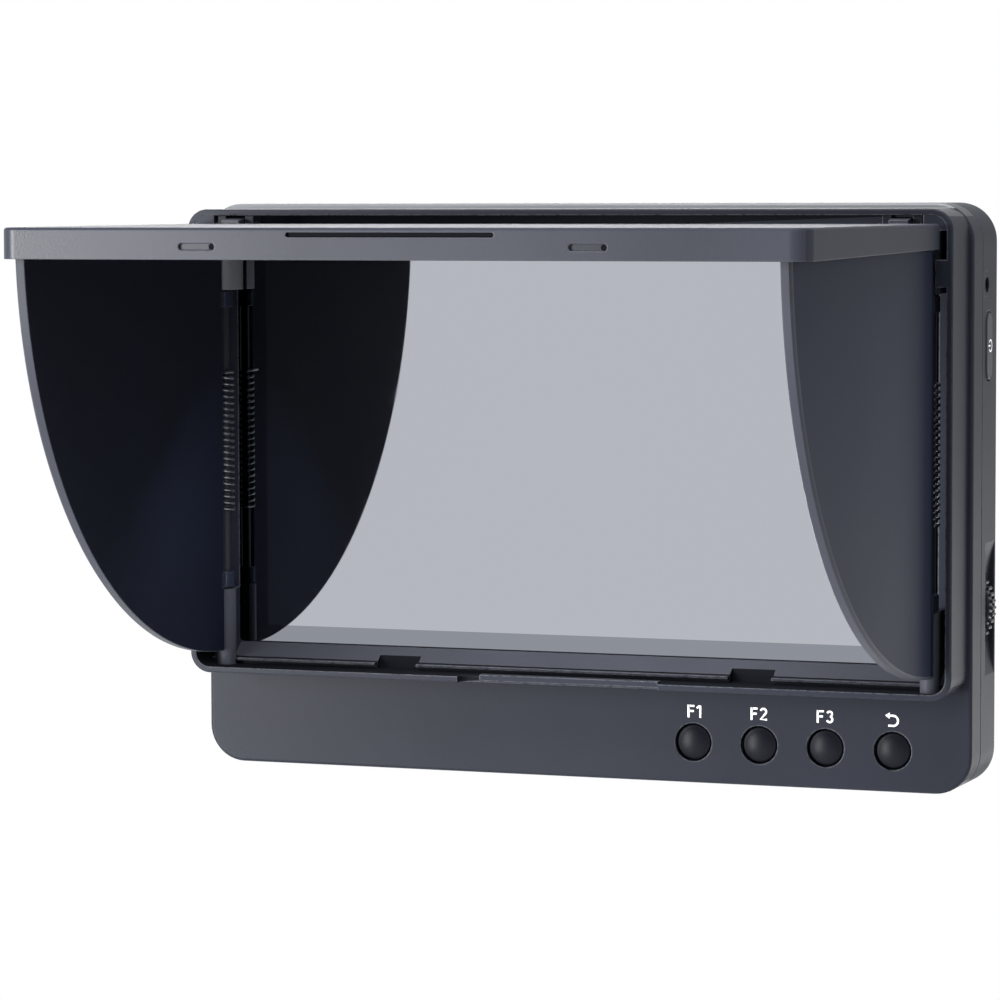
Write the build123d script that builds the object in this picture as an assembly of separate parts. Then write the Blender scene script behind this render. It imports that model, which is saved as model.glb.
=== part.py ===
from build123d import *

import os
from math import cos, pi, sin

# A seven-inch camera field monitor with a built-in, fold-out sun hood.
# Millimetres. +X is the viewer's right, +Y points away from the viewer, +Z is up.
# The origin is on the axis of the tripod thread, where it leaves the bottom of the case.

# Screen; the collar and the case are sized round it
active_width = 154.2
active_height = 85.9
glass_side_border = 7.3
glass_end_border = 4.1
glass_thickness = 1.1
glass_proud = 0.3
glass_corner = 1.0
glass_gap = 0.1
glass_edge = 0.2
glass_to_wall = 5.25
glass_to_roof = 5.85
glass_to_floor = 4.75
gasket_thickness = 0.3
seat_width = 3.4
panel_border = 3.2
panel_thickness = 1.4
backlight_thickness = 2.6
tray_sheet = 0.5
tray_gap = 0.3
tray_ear_width = 3.0

# Case
case_corner = 8.5
bezel_depth = 7.6
shell_depth = 15.5
wall = 2.0
seam_gap = 0.4
seam_step = 0.7
face_edge_round = 0.7
rear_edge_round = 3.0
tripod_behind_face = 15.3

# Collar, the proud frame round the screen that the hood folds into
collar_depth = 13.5
collar_inset = 1.2
collar_bottom = 22.3
collar_wall = 1.4
collar_corner = 4.8
collar_edge_round = 0.4

# Ledge below the glass, with the groove and the two pockets that the lid's latches drop into
ledge_depth = 6.0
ledge_lip = 1.5
ledge_flat = 1.6
groove_width = 0.6
groove_depth = 0.9
ledge_nose = 0.6
ledge_undercut = 1.2
groove_end_gap = 5.95
latch_spacing = 85.4
latch_pocket_width = 10.2
latch_pocket_depth = 3.5

# Finger tab in the lower rim of the collar
tab_left = -19.1
tab_right = 23.6
tab_gap = 5.4
tab_raise = 0.6
tab_depth = 2.4

# Front buttons
button_count = 4
button_pitch = 15.53
last_button_inset = 18.06
button_z = 9.25
button_diameter = 7.9
button_clearance = 0.4
button_dome = 1.1
button_proud = 0.2
button_flange = 1.1
button_flange_thickness = 0.7
flange_gap = 0.05
button_travel = 0.6
switch_gap = 0.1
switch_size = 6.0
switch_height = 1.6
plunger_radius = 1.7
plunger_height = 0.8

# Hood lid
lid_side_gap = 1.25
lid_front_reach = 100.4
lid_rear_gap = 1.5
lid_top_drop = 1.2
lid_plate = 1.5
lid_wall = 1.25
lid_front_height = 7.35
lid_rear_height = 6.2
lid_corner = 4.0
lid_edge_round = 0.7
lid_arm_inset = 9.1
lid_arm_width = 4.4
lid_arm_root = 4.0
lid_arm_step = 0.5
lid_barrel_radius = 1.95
lid_pin_radius = 0.9
lid_axis_behind_rim = 3.0
lid_axis_below_rim = 2.35
lid_lug_width = 2.0
lid_lug_gap = 0.25
thumb_groove_width = 45.4
thumb_groove_height = 1.0
thumb_groove_below_top = 1.5
latch_window_width = 8.1
latch_window_height = 1.5
latch_window_below_top = 4.65
latch_hole_diameter = 1.3
recess_depth = 0.6

# Side panels, their rods and springs
rod_inset = 4.55
rod_radius = 0.95
left_rod_depth = 6.1
right_rod_depth = 9.0
right_toe_in = 1.8
panel_plate = 2.4
plate_face_inboard = 0.7
panel_start = 3.0
panel_top_drop = 4.75
panel_tip_gap = 2.95
panel_curve_above_top = 5.1
panel_floor_gap = 3.35
panel_edge_bevel = 0.6
post_radius = 2.2
lower_post_height = 17.7
upper_post_height = 17.2
lug_radius = 1.9
lug_height = 3.8
running_clearance = 0.05
lug_end_gap = 0.3
stop_gap = 0.3
stop_height = 6.0
stop_length = 1.2
stop_above_post_end = 1.5
spring_above_post = 18.2
spring_below_post = 18.9
spring_inner_radius = 1.5
spring_wire = 0.65
spring_turns = 22
spring_sides = 16
panel_leg_length = 9.0
case_leg_length = 2.7

# Boards
board_behind_face = 8.0
board_thickness = 1.2
main_board_right_inset = 50.25
board_side_gap = 3.0
main_board_bottom = 34.0
main_board_top_inset = 19.0
side_board_left_inset = 26.25
side_board_bottom = 26.0
side_board_top_inset = 13.0
spacer_radius = 2.0
spacer_inset = 9.0
side_spacer_inset = 4.0
board_screw_radius = 0.9
board_screw_head_radius = 1.7
board_screw_head_height = 0.9
chip_size = 24.0
chip_height = 1.6
spreader_size = 44.0
spreader_thickness = 1.5
fin_height = 3.0
fin_thickness = 1.2
fin_count = 8
button_board_margin = 7.0
button_board_height = 13.0
stake_post_radius = 1.6
stake_radius = 0.8
stake_head_radius = 1.4
stake_head_height = 0.5

# Case screws, given by their distance in from the case's edges
screw_corner_inset = 6.3
screw_middle_inset = 4.9
screw_middle_x = -20.0
screw_radius = 1.2
screw_head_radius = 2.4
screw_head_height = 1.6
screw_well_depth = 6.5
screw_well_gap = 0.3
cross_slot = 0.5
cross_depth = 0.8
boss_radius = 2.5
shell_boss_radius = 3.4
pilot_floor = 0.8

# Controls and sockets on the right side; depths are measured back from the front face
headphone_depth = 11.8
headphone_below_top = 18.2
jack_bore_radius = 1.8
jack_block = 5.2
jack_length = 12.0
jack_floor = 1.5
jack_nose_radius = 2.8
jack_nose_gap = 0.1
power_depth = 13.4
power_below_top = 31.9
power_length = 15.0
power_width = 5.0
power_clearance = 0.3
power_proud = 0.3
power_edge_round = 0.4
power_flange = 0.9
power_flange_thickness = 0.8
power_travel = 0.5
dial_depth = 15.7
dial_z = 40.4
dial_radius = 11.0
dial_thickness = 3.0
dial_proud = 1.2
dial_teeth = 44
dial_tooth_depth = 0.45
dial_hub_radius = 4.0
dial_rim_width = 2.2
dial_web_recess = 0.5
dial_axle_radius = 1.5
dial_axle_proud = 0.6
dial_slot_gap = 0.5
encoder_size = 12.0
encoder_height = 2.9
scoop_height = 29.7
scoop_width = 8.2
scoop_depth = 1.8
scoop_floor = 1.6

# Sockets on the left side
port_depth = 12.1
hdmi_in_below_top = 35.0
hdmi_spacing = 20.0
hdmi_width = 14.6
hdmi_height = 5.6
hdmi_length = 11.5
hdmi_sheet = 0.4
hdmi_floor = 1.3
hdmi_tongue_width = 11.0
hdmi_tongue_thickness = 1.2
port_recess = 0.8
port_clearance = 0.3
av_z = 57.0
dc_z = 43.0
dc_bore_radius = 2.9
dc_block = 8.6
dc_length = 12.0
dc_pin_radius = 1.0
dc_pin_inset = 1.0

# Tripod insert
insert_radius = 4.2
insert_length = 8.0
thread_radius = 2.55
insert_boss_wall = 2.6

# Battery plate for a slide-on camcorder battery
plate_width = 43.0
plate_height = 66.0
plate_above_middle = 0.5
plate_thickness = 3.0
plate_corner = 3.0
plate_edge = 0.5
rail_width = 3.0
rail_height = 4.4
rail_hook = 1.6
rail_hook_thickness = 1.4
rail_notch = 9.0
rail_notch_spacing = 28.0
contact_block_width = 25.0
contact_block_length = 8.0
contact_block_height = 3.6
contact_count = 3
contact_pitch = 6.4
contact_width = 2.4
contact_sheet = 0.6
contact_length = 6.0
plate_screw_x = 13.0
plate_screw_z = 24.0
plate_screw_radius = 1.2
plate_screw_head_radius = 2.2
plate_screw_head_height = 1.3
plate_screw_length = 5.0
plate_screw_gap = 0.2
plate_boss_radius = 3.0
release_width = 11.0
release_length = 7.0
release_below_top = 9.0
release_gap = 0.3
release_proud = 1.5
release_nose = 2.0
release_travel = 1.5
release_flange = 0.8
release_flange_thickness = 0.6

# Vents in the rear wall
vent_count = 9
vent_pitch = 5.0
vent_width = 1.6
vent_length = 20.0
vent_edge_inset = 36.25
vent_below_top = 43.0

# Places that follow from the sizes above
glass_width = active_width + 2 * glass_side_border
glass_height = active_height + 2 * glass_end_border
well_half = glass_width / 2 + glass_to_wall
collar_half = well_half + collar_wall
half_width = collar_half + collar_inset
floor_z = collar_bottom + collar_wall
glass_bottom = floor_z + glass_to_floor
glass_top = glass_bottom + glass_height
screen_z = glass_bottom + glass_height / 2
well_top = glass_top + glass_to_roof
collar_top = well_top + collar_wall
case_height = collar_top + collar_inset

face_y = -tripod_behind_face
bezel_back = face_y + bezel_depth
case_back = bezel_back + shell_depth
rim_y = face_y - collar_depth
glass_front = face_y - glass_proud
glass_back = glass_front + glass_thickness
seat_y = glass_back + gasket_thickness
front_wall_back = face_y + wall
panel_front = front_wall_back
backlight_front = panel_front + panel_thickness
tray_front = backlight_front + backlight_thickness
tray_back = tray_front + tray_sheet
board_front = face_y + board_behind_face
board_back = board_front + board_thickness
inner_half = half_width - wall
power_flange_back = inner_half - power_flange_thickness - flange_gap
rear_wall_front = case_back - wall

lid_top = well_top - lid_top_drop
lid_half = well_half - lid_side_gap
lid_front = rim_y - lid_front_reach
lid_rear = rim_y - lid_rear_gap
lid_underside = lid_top - lid_plate
lid_axis_y = rim_y + lid_axis_behind_rim
lid_axis_z = well_top - lid_axis_below_rim
lid_arm_x = lid_half - lid_arm_inset
panel_top = lid_underside - panel_top_drop
panel_curve_z = panel_top + panel_curve_above_top
panel_bottom = floor_z + panel_floor_gap
panel_curve_height = panel_curve_z - panel_bottom
panel_tip = lid_front + lid_wall + panel_tip_gap
rod_x = well_half - rod_inset
left_rod_y = face_y - left_rod_depth
right_rod_y = face_y - right_rod_depth
lower_post_top = floor_z + lower_post_height
upper_post_bottom = well_top - upper_post_height
spring_bottom = lower_post_top + spring_above_post
spring_top = upper_post_bottom - spring_below_post

last_button_x = half_width - last_button_inset
button_xs = [last_button_x - n * button_pitch for n in reversed(range(button_count))]
button_hole_radius = button_diameter / 2 + button_clearance
stem_back = front_wall_back + button_flange_thickness
button_board_front = stem_back + button_travel + switch_gap + plunger_height + switch_height
dial_x = half_width + dial_proud - dial_radius
dial_y = face_y + dial_depth
button_board_back = button_board_front + board_thickness
encoder_back = board_back + encoder_height

main_board_left = -inner_half + board_side_gap
main_board_right = half_width - main_board_right_inset
main_board_top = case_height - main_board_top_inset
side_board_left = half_width - side_board_left_inset
side_board_right = inner_half - board_side_gap
side_board_top = case_height - side_board_top_inset
headphone_z = case_height - headphone_below_top
power_z = case_height - power_below_top
hdmi_in_z = case_height - hdmi_in_below_top
hdmi_out_z = hdmi_in_z - hdmi_spacing
plate_z = case_height / 2 + plate_above_middle
vent_x = half_width - vent_edge_inset
vent_z = case_height - vent_below_top

screw_spots = [
    (-half_width + screw_corner_inset, screw_corner_inset),
    (half_width - screw_corner_inset, screw_corner_inset),
    (-half_width + screw_corner_inset, case_height - screw_corner_inset),
    (half_width - screw_corner_inset, case_height - screw_corner_inset),
    (screw_middle_x, screw_middle_inset),
    (0.0, case_height - screw_middle_inset),
]
plate_screw_spots = [
    (x, plate_z + z) for x in (-plate_screw_x, plate_screw_x) for z in (-plate_screw_z, plate_screw_z)
]


# Helpers


def block(x, y, z):
    """A box from its low and high bounds along each axis."""
    size = (x[1] - x[0], y[1] - y[0], z[1] - z[0])
    centre = ((x[0] + x[1]) / 2, (y[0] + y[1]) / 2, (z[0] + z[1]) / 2)
    return Pos(*centre) * Box(*size)


def facing(sketch, front, back):
    """A sketch in X and Z, extruded from the plane y = front to the plane y = back."""
    plane = Plane((0, back, 0), x_dir=(1, 0, 0), z_dir=(0, -1, 0))
    return extrude(plane * sketch, amount=back - front, dir=(0, -1, 0))


def sideways(sketch, left, right):
    """A sketch in Y and Z, extruded from the plane x = left to the plane x = right."""
    plane = Plane((left, 0, 0), x_dir=(0, 1, 0), z_dir=(1, 0, 0))
    return extrude(plane * sketch, amount=right - left, dir=(1, 0, 0))


def along_x(radius, x, y, z):
    """A round bar along X between two x values."""
    return sideways(Pos(y, z) * Circle(radius), x[0], x[1])


def along_y(radius, y, x, z):
    """A round bar along Y between two y values."""
    return facing(Pos(x, z) * Circle(radius), y[0], y[1])


def along_z(radius, z, x, y):
    """A round bar along Z between two z values."""
    return Pos(x, y, (z[0] + z[1]) / 2) * Cylinder(radius, z[1] - z[0])


def framed(width_half, bottom, top, corner):
    """A rounded rectangle in X and Z, centred on x = 0."""
    return Pos(0, (bottom + top) / 2) * RectangleRounded(2 * width_half, top - bottom, corner)


def case_outline(inset):
    """The outline of the case, drawn in by an inset."""
    return framed(half_width - inset, inset, case_height - inset, case_corner - inset)


def glass_outline(inset):
    """The outline of the glass, drawn in by an inset."""
    return framed(glass_width / 2 - inset, glass_bottom + inset, glass_top - inset, glass_corner)


def mirrored(part):
    """The same part on the other side of the case."""
    return mirror(part, about=Plane.YZ)


def joined(parts):
    """One part made of a list of parts."""
    whole = parts[0]
    for piece in parts[1:]:
        whole = whole + piece
    return whole


# Front bezel with its collar


def bezel_shell():
    body = facing(case_outline(0), face_y, bezel_back)
    front = body.faces().sort_by(Axis.Y)[0]
    body = fillet(front.edges(), face_edge_round)
    return body - facing(case_outline(wall), front_wall_back, bezel_back + 1)


def collar_frame():
    outer = facing(framed(collar_half, collar_bottom, collar_top, collar_corner), rim_y, front_wall_back)
    rim = outer.faces().sort_by(Axis.Y)[0]
    outer = fillet(rim.edges(), collar_edge_round)
    return outer


def collar_well():
    outline = framed(well_half, floor_z, well_top, collar_corner - collar_wall)
    return facing(outline, rim_y - 1, face_y)


def screen_ledge():
    foot = (face_y + 0.1, collar_bottom + 0.1)
    outline = [
        foot,
        (face_y - ledge_depth, collar_bottom + 0.1),
        (face_y - ledge_depth, floor_z + ledge_lip),
        (face_y - ledge_depth + ledge_flat, floor_z + ledge_lip),
        (glass_front, glass_bottom),
        (face_y + 0.1, glass_bottom),
    ]
    ledge = sideways(Polygon(*outline, align=None), -collar_half + 0.2, collar_half - 0.2)
    inside = framed(collar_half - 0.2, collar_bottom, collar_top, collar_corner)
    ledge = ledge & facing(inside, rim_y, face_y + 1)
    groove_y = face_y - ledge_depth + ledge_flat
    groove_top = floor_z + ledge_lip
    groove_half = well_half - groove_end_gap
    ledge -= block(
        (-groove_half, groove_half),
        (groove_y - groove_width / 2, groove_y + groove_width / 2),
        (groove_top - groove_depth, groove_top + groove_width),
    )
    under_nose = (face_y - ledge_depth - 1, face_y - ledge_depth + ledge_undercut)
    ledge -= block((-groove_half, groove_half), under_nose, (floor_z, groove_top - ledge_nose))
    for side in (-1, 1):
        middle = side * latch_spacing / 2
        ledge -= block(
            (middle - latch_pocket_width / 2, middle + latch_pocket_width / 2),
            (face_y - ledge_depth - 1, face_y - ledge_depth + latch_pocket_depth),
            (floor_z, glass_bottom),
        )
    return ledge


def finger_tab():
    return block((tab_left, tab_right), (rim_y, rim_y + tab_depth), (floor_z - 0.1, floor_z + tab_raise))


def finger_tab_cuts():
    depth = (rim_y - 1, rim_y + tab_depth)
    gap = block((tab_left - tab_gap, tab_left), depth, (collar_bottom - 1, floor_z + 1))
    under = block((tab_left - 0.1, tab_right), depth, (collar_bottom - 1, collar_bottom + tab_raise))
    return gap + under


def hinge_posts(side, rod_y):
    """The two posts on one side that hold a panel's rod, and the stop that the panel rests against."""
    x = side * rod_x
    web_half = post_radius / 2
    posts = []
    for span in ((floor_z - 0.1, lower_post_top), (upper_post_bottom, well_top + 0.1)):
        posts.append(along_z(post_radius, span, x, rod_y))
        posts.append(block((x - web_half, x + web_half), (rod_y, face_y + 0.1), span))
    plate_face = rod_x - plate_face_inboard + panel_plate
    stop_x = sorted((side * (plate_face + stop_gap), side * (well_half + 0.1)))
    stop_rear = rod_y - panel_start - stop_gap
    stop_low = upper_post_bottom + stop_above_post_end
    posts.append(block(stop_x, (stop_rear - stop_length, stop_rear), (stop_low, stop_low + stop_height)))
    return joined(posts)


def rod_bores(side, rod_y):
    return along_z(rod_radius, (floor_z + 1, well_top - 1), side * rod_x, rod_y)


def lid_lugs(side):
    """The two lugs on one side, one each side of the lid's arm, that hold its hinge pin."""
    lugs = []
    inner = lid_arm_x - lid_arm_width / 2 - lid_lug_gap
    outer = lid_arm_x + lid_arm_width / 2 + lid_lug_gap
    for low, high in ((inner - lid_lug_width, inner), (outer, outer + lid_lug_width)):
        span = sorted((side * low, side * high))
        lugs.append(along_x(lid_barrel_radius, span, lid_axis_y, lid_axis_z))
        sides = (lid_axis_y - lid_barrel_radius, lid_axis_y + lid_barrel_radius)
        lugs.append(block(span, sides, (lid_axis_z, well_top + 0.1)))
    return joined(lugs)


def lid_pin_span(side):
    inner = lid_arm_x - lid_arm_width / 2 - lid_lug_gap - lid_lug_width
    outer = lid_arm_x + lid_arm_width / 2 + lid_lug_gap + lid_lug_width
    return sorted((side * inner, side * outer))


def bezel_bosses():
    span = (front_wall_back - 0.1, tray_front)
    return joined([along_y(boss_radius, span, x, z) for x, z in screw_spots])


def stake_spots():
    return [x + button_pitch / 2 for x in button_xs[:-1]]


def board_stakes():
    """Posts behind the front wall, melted over the button board."""
    post = (front_wall_back - 0.1, button_board_front)
    neck = (button_board_front - 0.1, button_board_back + 0.1)
    head = (button_board_back, button_board_back + stake_head_height)
    stakes = []
    for x in stake_spots():
        stakes.append(along_y(stake_post_radius, post, x, button_z))
        stakes.append(along_y(stake_radius, neck, x, button_z))
        stakes.append(along_y(stake_head_radius, head, x, button_z))
    return joined(stakes)


def front_bezel():
    bezel = bezel_shell() + collar_frame()
    bezel -= collar_well()
    bezel += screen_ledge() + finger_tab() + bezel_bosses() + board_stakes()
    for side, rod_y in ((-1, left_rod_y), (1, right_rod_y)):
        bezel += hinge_posts(side, rod_y)
        bezel += lid_lugs(side)
        bezel -= rod_bores(side, rod_y)
        bezel -= along_x(lid_pin_radius, lid_pin_span(side), lid_axis_y, lid_axis_z)
    bezel -= finger_tab_cuts()
    bezel -= facing(glass_outline(0), glass_front - 1, seat_y)
    bezel -= facing(glass_outline(seat_width), glass_front, front_wall_back + 1)
    for x in button_xs:
        bezel -= along_y(button_hole_radius, (face_y - 1, front_wall_back + 1), x, button_z)
    for x, z in screw_spots:
        bezel -= along_y(screw_radius, (face_y + pilot_floor, tray_front + 1), x, z)
    return bezel


# Rear shell


def shell_body():
    outer = facing(case_outline(0), bezel_back + seam_gap, case_back)
    rear = outer.faces().sort_by(Axis.Y)[-1]
    outer = fillet(rear.edges(), rear_edge_round)
    outer += facing(case_outline(seam_step), bezel_back, bezel_back + seam_gap + 1)
    return outer - facing(case_outline(wall), bezel_back - 1, rear_wall_front)


def shell_bosses():
    span = (tray_back, rear_wall_front + 0.1)
    bosses = [along_y(shell_boss_radius, span, x, z) for x, z in screw_spots]
    span = (case_back - plate_screw_length - 1, rear_wall_front + 0.1)
    bosses += [along_y(plate_boss_radius, span, x, z) for x, z in plate_screw_spots]
    reach = insert_radius + insert_boss_wall
    insert_y = (bezel_back + seam_gap, rear_wall_front + 0.1)
    bosses.append(block((-reach, reach), insert_y, (wall - 0.1, insert_length + wall)))
    ahead = facing(case_outline(wall + 0.3), tray_back, bezel_back + 0.1)
    return joined(bosses) & (ahead + facing(case_outline(0.5), bezel_back, case_back - 0.5))


def dial_pocket():
    """The thicker stretch of side wall behind the finger scoop."""
    half = scoop_height / 2 + scoop_floor
    depth_half = scoop_width / 2 + scoop_floor
    return block(
        (half_width - scoop_depth - scoop_floor, inner_half + 0.1),
        (dial_y - depth_half, dial_y + depth_half),
        (dial_z - half, dial_z + half),
    )


def dial_cuts():
    chord = scoop_height / 2
    scoop_radius = (chord**2 + scoop_depth**2) / (2 * scoop_depth)
    scoop_y = (dial_y - scoop_width / 2, dial_y + scoop_width / 2)
    scoop = along_y(scoop_radius, scoop_y, half_width - scoop_depth + scoop_radius, dial_z)
    slot_half = dial_thickness / 2 + dial_slot_gap
    slot = along_y(dial_radius + dial_slot_gap, (dial_y - slot_half, dial_y + slot_half), dial_x, dial_z)
    return scoop + slot


def side_cuts():
    right = (inner_half - 5, half_width + 1)
    left = (-half_width - 1, -inner_half + 5)
    nose_hole = jack_nose_radius + jack_nose_gap
    cuts = [along_x(nose_hole, right, face_y + headphone_depth, headphone_z)]
    slot = RectangleRounded(
        power_width + 2 * power_clearance, power_length + 2 * power_clearance, power_width / 2
    )
    cuts.append(sideways(Pos(face_y + power_depth, power_z) * slot, right[0], right[1]))
    port_y = face_y + port_depth
    for z in (hdmi_in_z, hdmi_out_z):
        mouth = RectangleRounded(hdmi_height + 2 * port_clearance, hdmi_width + 2 * port_clearance, 1.0)
        cuts.append(sideways(Pos(port_y, z) * mouth, left[0], left[1]))
    cuts.append(along_x(nose_hole, left, port_y, av_z))
    cuts.append(along_x(dc_bore_radius + port_clearance, left, port_y, dc_z))
    return joined(cuts)


def vent_slots():
    slots = []
    for side in (-1, 1):
        for n in range(vent_count):
            x = side * vent_x + (n - (vent_count - 1) / 2) * vent_pitch
            slot = Pos(x, vent_z) * Rot(0, 0, 90) * SlotOverall(vent_length, vent_width)
            slots.append(facing(slot, rear_wall_front - 1, case_back + 1))
    return slots


def screw_wells():
    wells = []
    for x, z in screw_spots:
        wells.append(along_y(screw_radius + screw_well_gap, (tray_back - 1, case_back), x, z))
        span = (case_back - screw_well_depth, case_back + 1)
        wells.append(along_y(screw_head_radius + screw_well_gap, span, x, z))
    for x, z in plate_screw_spots:
        wells.append(along_y(plate_screw_radius, (case_back - plate_screw_length, case_back + 1), x, z))
    return wells


def rear_shell():
    shell = shell_body() + shell_bosses() + dial_pocket()
    shell -= dial_cuts()
    shell -= side_cuts()
    shell -= along_z(insert_radius, (-1, insert_length), 0, 0)
    for cut in vent_slots() + screw_wells():
        shell -= cut
    return shell


# Screen stack


def screen_glass():
    plate = facing(glass_outline(glass_gap), glass_front, glass_back)
    front = plate.faces().sort_by(Axis.Y)[0]
    return chamfer(front.edges(), glass_edge)


def glass_gasket():
    ring = glass_outline(3 * glass_gap) - glass_outline(seat_width)
    return facing(ring, glass_back, seat_y)


def stack_half(border):
    return active_width / 2 + border


def stack_span(border):
    half = active_height / 2 + border
    return (screen_z - half, screen_z + half)


def lcd_panel():
    half = stack_half(panel_border)
    low, high = stack_span(panel_border)
    return facing(framed(half, low, high, 0.6), panel_front, backlight_front)


def backlight():
    half = stack_half(panel_border)
    low, high = stack_span(panel_border)
    return facing(framed(half, low, high, 0.6), backlight_front, tray_front)


def panel_tray():
    """A folded sheet tray round the panel, with an ear on every case screw."""
    border = panel_border + tray_gap + tray_sheet
    half = stack_half(border)
    low, high = stack_span(border)
    tray = facing(framed(half, low, high, 1.2), front_wall_back, tray_back)
    inner_low, inner_high = stack_span(panel_border + tray_gap)
    tray -= facing(framed(half - tray_sheet, inner_low, inner_high, 0.7), face_y, tray_front)
    for x, z in screw_spots:
        edge_z, out = (low, -1) if z < screen_z else (high, 1)
        strip_z = sorted((edge_z - out, edge_z + out * tray_ear_width))
        near_x = min(max(x, 1 - half), half - 1)
        strip_x = (min(x - boss_radius, near_x), max(x + boss_radius, near_x))
        tray += block(strip_x, (tray_front, tray_back), strip_z)
        tray += block((x - boss_radius, x + boss_radius), (tray_front, tray_back), sorted((z, edge_z)))
        tray += along_y(boss_radius, (tray_front, tray_back), x, z)
    for x, z in screw_spots:
        tray -= along_y(screw_radius + screw_well_gap, (tray_front - 1, tray_back + 1), x, z)
    return tray


# Boards and what they carry


def board(left, right, bottom, top):
    return block((left, right), (board_front, board_back), (bottom, top))


def drilled(plate):
    for x, z in spacer_spots():
        plate -= along_y(board_screw_radius + 0.1, (board_front - 1, board_back + 1), x, z)
    return plate


def main_board():
    return drilled(board(main_board_left, main_board_right, main_board_bottom, main_board_top))


def side_board():
    return drilled(board(side_board_left, side_board_right, side_board_bottom, side_board_top))


def spacer_spots():
    """Four spots on the main board and three down the inner edge of the side board."""
    main_x = (main_board_left + spacer_inset, main_board_right - spacer_inset)
    main_z = (main_board_bottom + spacer_inset, main_board_top - spacer_inset)
    side_x = side_board_left + side_spacer_inset
    side_low = side_board_bottom + side_spacer_inset
    side_high = side_board_top - side_spacer_inset
    side_z = (side_low, (side_low + side_high) / 2, side_high)
    return [(x, z) for x in main_x for z in main_z] + [(side_x, z) for z in side_z]


def board_spacers():
    spacers = []
    for x, z in spacer_spots():
        spacer = along_y(spacer_radius, (tray_back, board_front), x, z)
        spacers.append(spacer - along_y(board_screw_radius, (tray_back + 0.3, board_front + 1), x, z))
    return spacers


def board_screws():
    screws = []
    for x, z in spacer_spots():
        screw = along_y(board_screw_head_radius, (board_back, board_back + board_screw_head_height), x, z)
        screws.append(screw + along_y(board_screw_radius, (tray_back + 0.4, board_back + 0.1), x, z))
    return screws


def chip_place():
    return ((main_board_left + main_board_right) / 2, (main_board_bottom + main_board_top) / 2)


def video_chip():
    x, z = chip_place()
    return facing(Pos(x, z) * Rectangle(chip_size, chip_size), board_back, board_back + chip_height)


def heat_spreader():
    x, z = chip_place()
    base_front = board_back + chip_height
    base_back = base_front + spreader_thickness
    spreader = facing(Pos(x, z) * Rectangle(spreader_size, spreader_size), base_front, base_back)
    pitch = (spreader_size - fin_thickness) / (fin_count - 1)
    for n in range(fin_count):
        fin_x = x + (n - (fin_count - 1) / 2) * pitch
        fin = Pos(fin_x, z) * Rectangle(fin_thickness, spreader_size)
        spreader += facing(fin, base_back - 0.1, base_back + fin_height)
    return spreader


def button_board():
    left = button_xs[0] - button_board_margin
    right = button_xs[-1] + button_board_margin - 2
    plate = Pos((left + right) / 2, button_z) * Rectangle(right - left, button_board_height)
    for x in stake_spots():
        plate -= Pos(x, button_z) * Circle(stake_radius + 0.05)
    return facing(plate, button_board_front, button_board_back)


def tact_switches():
    switches = []
    base_front = button_board_front - switch_height
    for x in button_xs:
        outline = Pos(x, button_z) * Rectangle(switch_size, switch_size)
        base = facing(outline, base_front, button_board_front)
        plunger = (base_front - plunger_height, base_front + 0.1)
        switches.append(base + along_y(plunger_radius, plunger, x, button_z))
    return switches


# Buttons


def round_button(x):
    """A domed cap with a flange behind the wall."""
    radius = button_diameter / 2
    crown = face_y - button_proud
    edge = crown + button_dome
    cap = along_y(radius, (edge, stem_back), x, button_z)
    ball_radius = (radius**2 + button_dome**2) / (2 * button_dome)
    ball = Pos(x, crown + ball_radius, button_z) * Sphere(ball_radius)
    cap += ball & along_y(radius, (crown - 1, edge + 0.1), x, button_z)
    cap += along_y(radius + button_flange, (front_wall_back + flange_gap, stem_back), x, button_z)
    return cap


def power_button():
    place = Pos(face_y + power_depth, power_z)
    outline = RectangleRounded(power_width, power_length, power_width / 2 - 0.1)
    cap = sideways(place * outline, inner_half - 0.1, half_width + power_proud)
    top = cap.faces().sort_by(Axis.X)[-1]
    cap = fillet(top.edges(), power_edge_round)
    flange = RectangleRounded(power_width + 2 * power_flange, power_length + 2 * power_flange, 2.0)
    return cap + sideways(place * flange, power_flange_back, inner_half - flange_gap)


def power_switch():
    """The small side-acting switch behind the power button, on the side board."""
    y = face_y + power_depth
    left = side_board_right - switch_size
    low = power_z - switch_size / 2
    base = block((left, side_board_right), (board_back, y + switch_size / 2), (low, low + switch_size))
    tip = power_flange_back - power_travel - switch_gap
    return base + along_x(plunger_radius, (side_board_right - 0.1, tip), y, power_z)


def menu_dial():
    """A knurled thumb wheel with a hub, a thin web and a toothed rim."""
    points = []
    for n in range(2 * dial_teeth):
        radius = dial_radius - (n % 2) * dial_tooth_depth
        angle = pi * n / dial_teeth
        points.append((dial_x + radius * cos(angle), dial_z + radius * sin(angle)))
    front = dial_y - dial_thickness / 2
    back = dial_y + dial_thickness / 2
    wheel = facing(Polygon(*points, align=None), front, back)
    web = Circle(dial_radius - dial_rim_width) - Circle(dial_hub_radius)
    wheel -= facing(Pos(dial_x, dial_z) * web, front - 1, front + dial_web_recess)
    wheel -= facing(Pos(dial_x, dial_z) * web, back - dial_web_recess, back + 1)
    return wheel - along_y(dial_axle_radius + running_clearance, (front - 1, back + 1), dial_x, dial_z)


def dial_encoder():
    outline = Pos(dial_x, dial_z) * RectangleRounded(encoder_size, encoder_size, 1.0)
    body = facing(outline, board_back, encoder_back)
    axle_end = dial_y + dial_thickness / 2 + dial_axle_proud
    return body + along_y(dial_axle_radius, (encoder_back - 0.1, axle_end), dial_x, dial_z)


# Sockets


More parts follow.
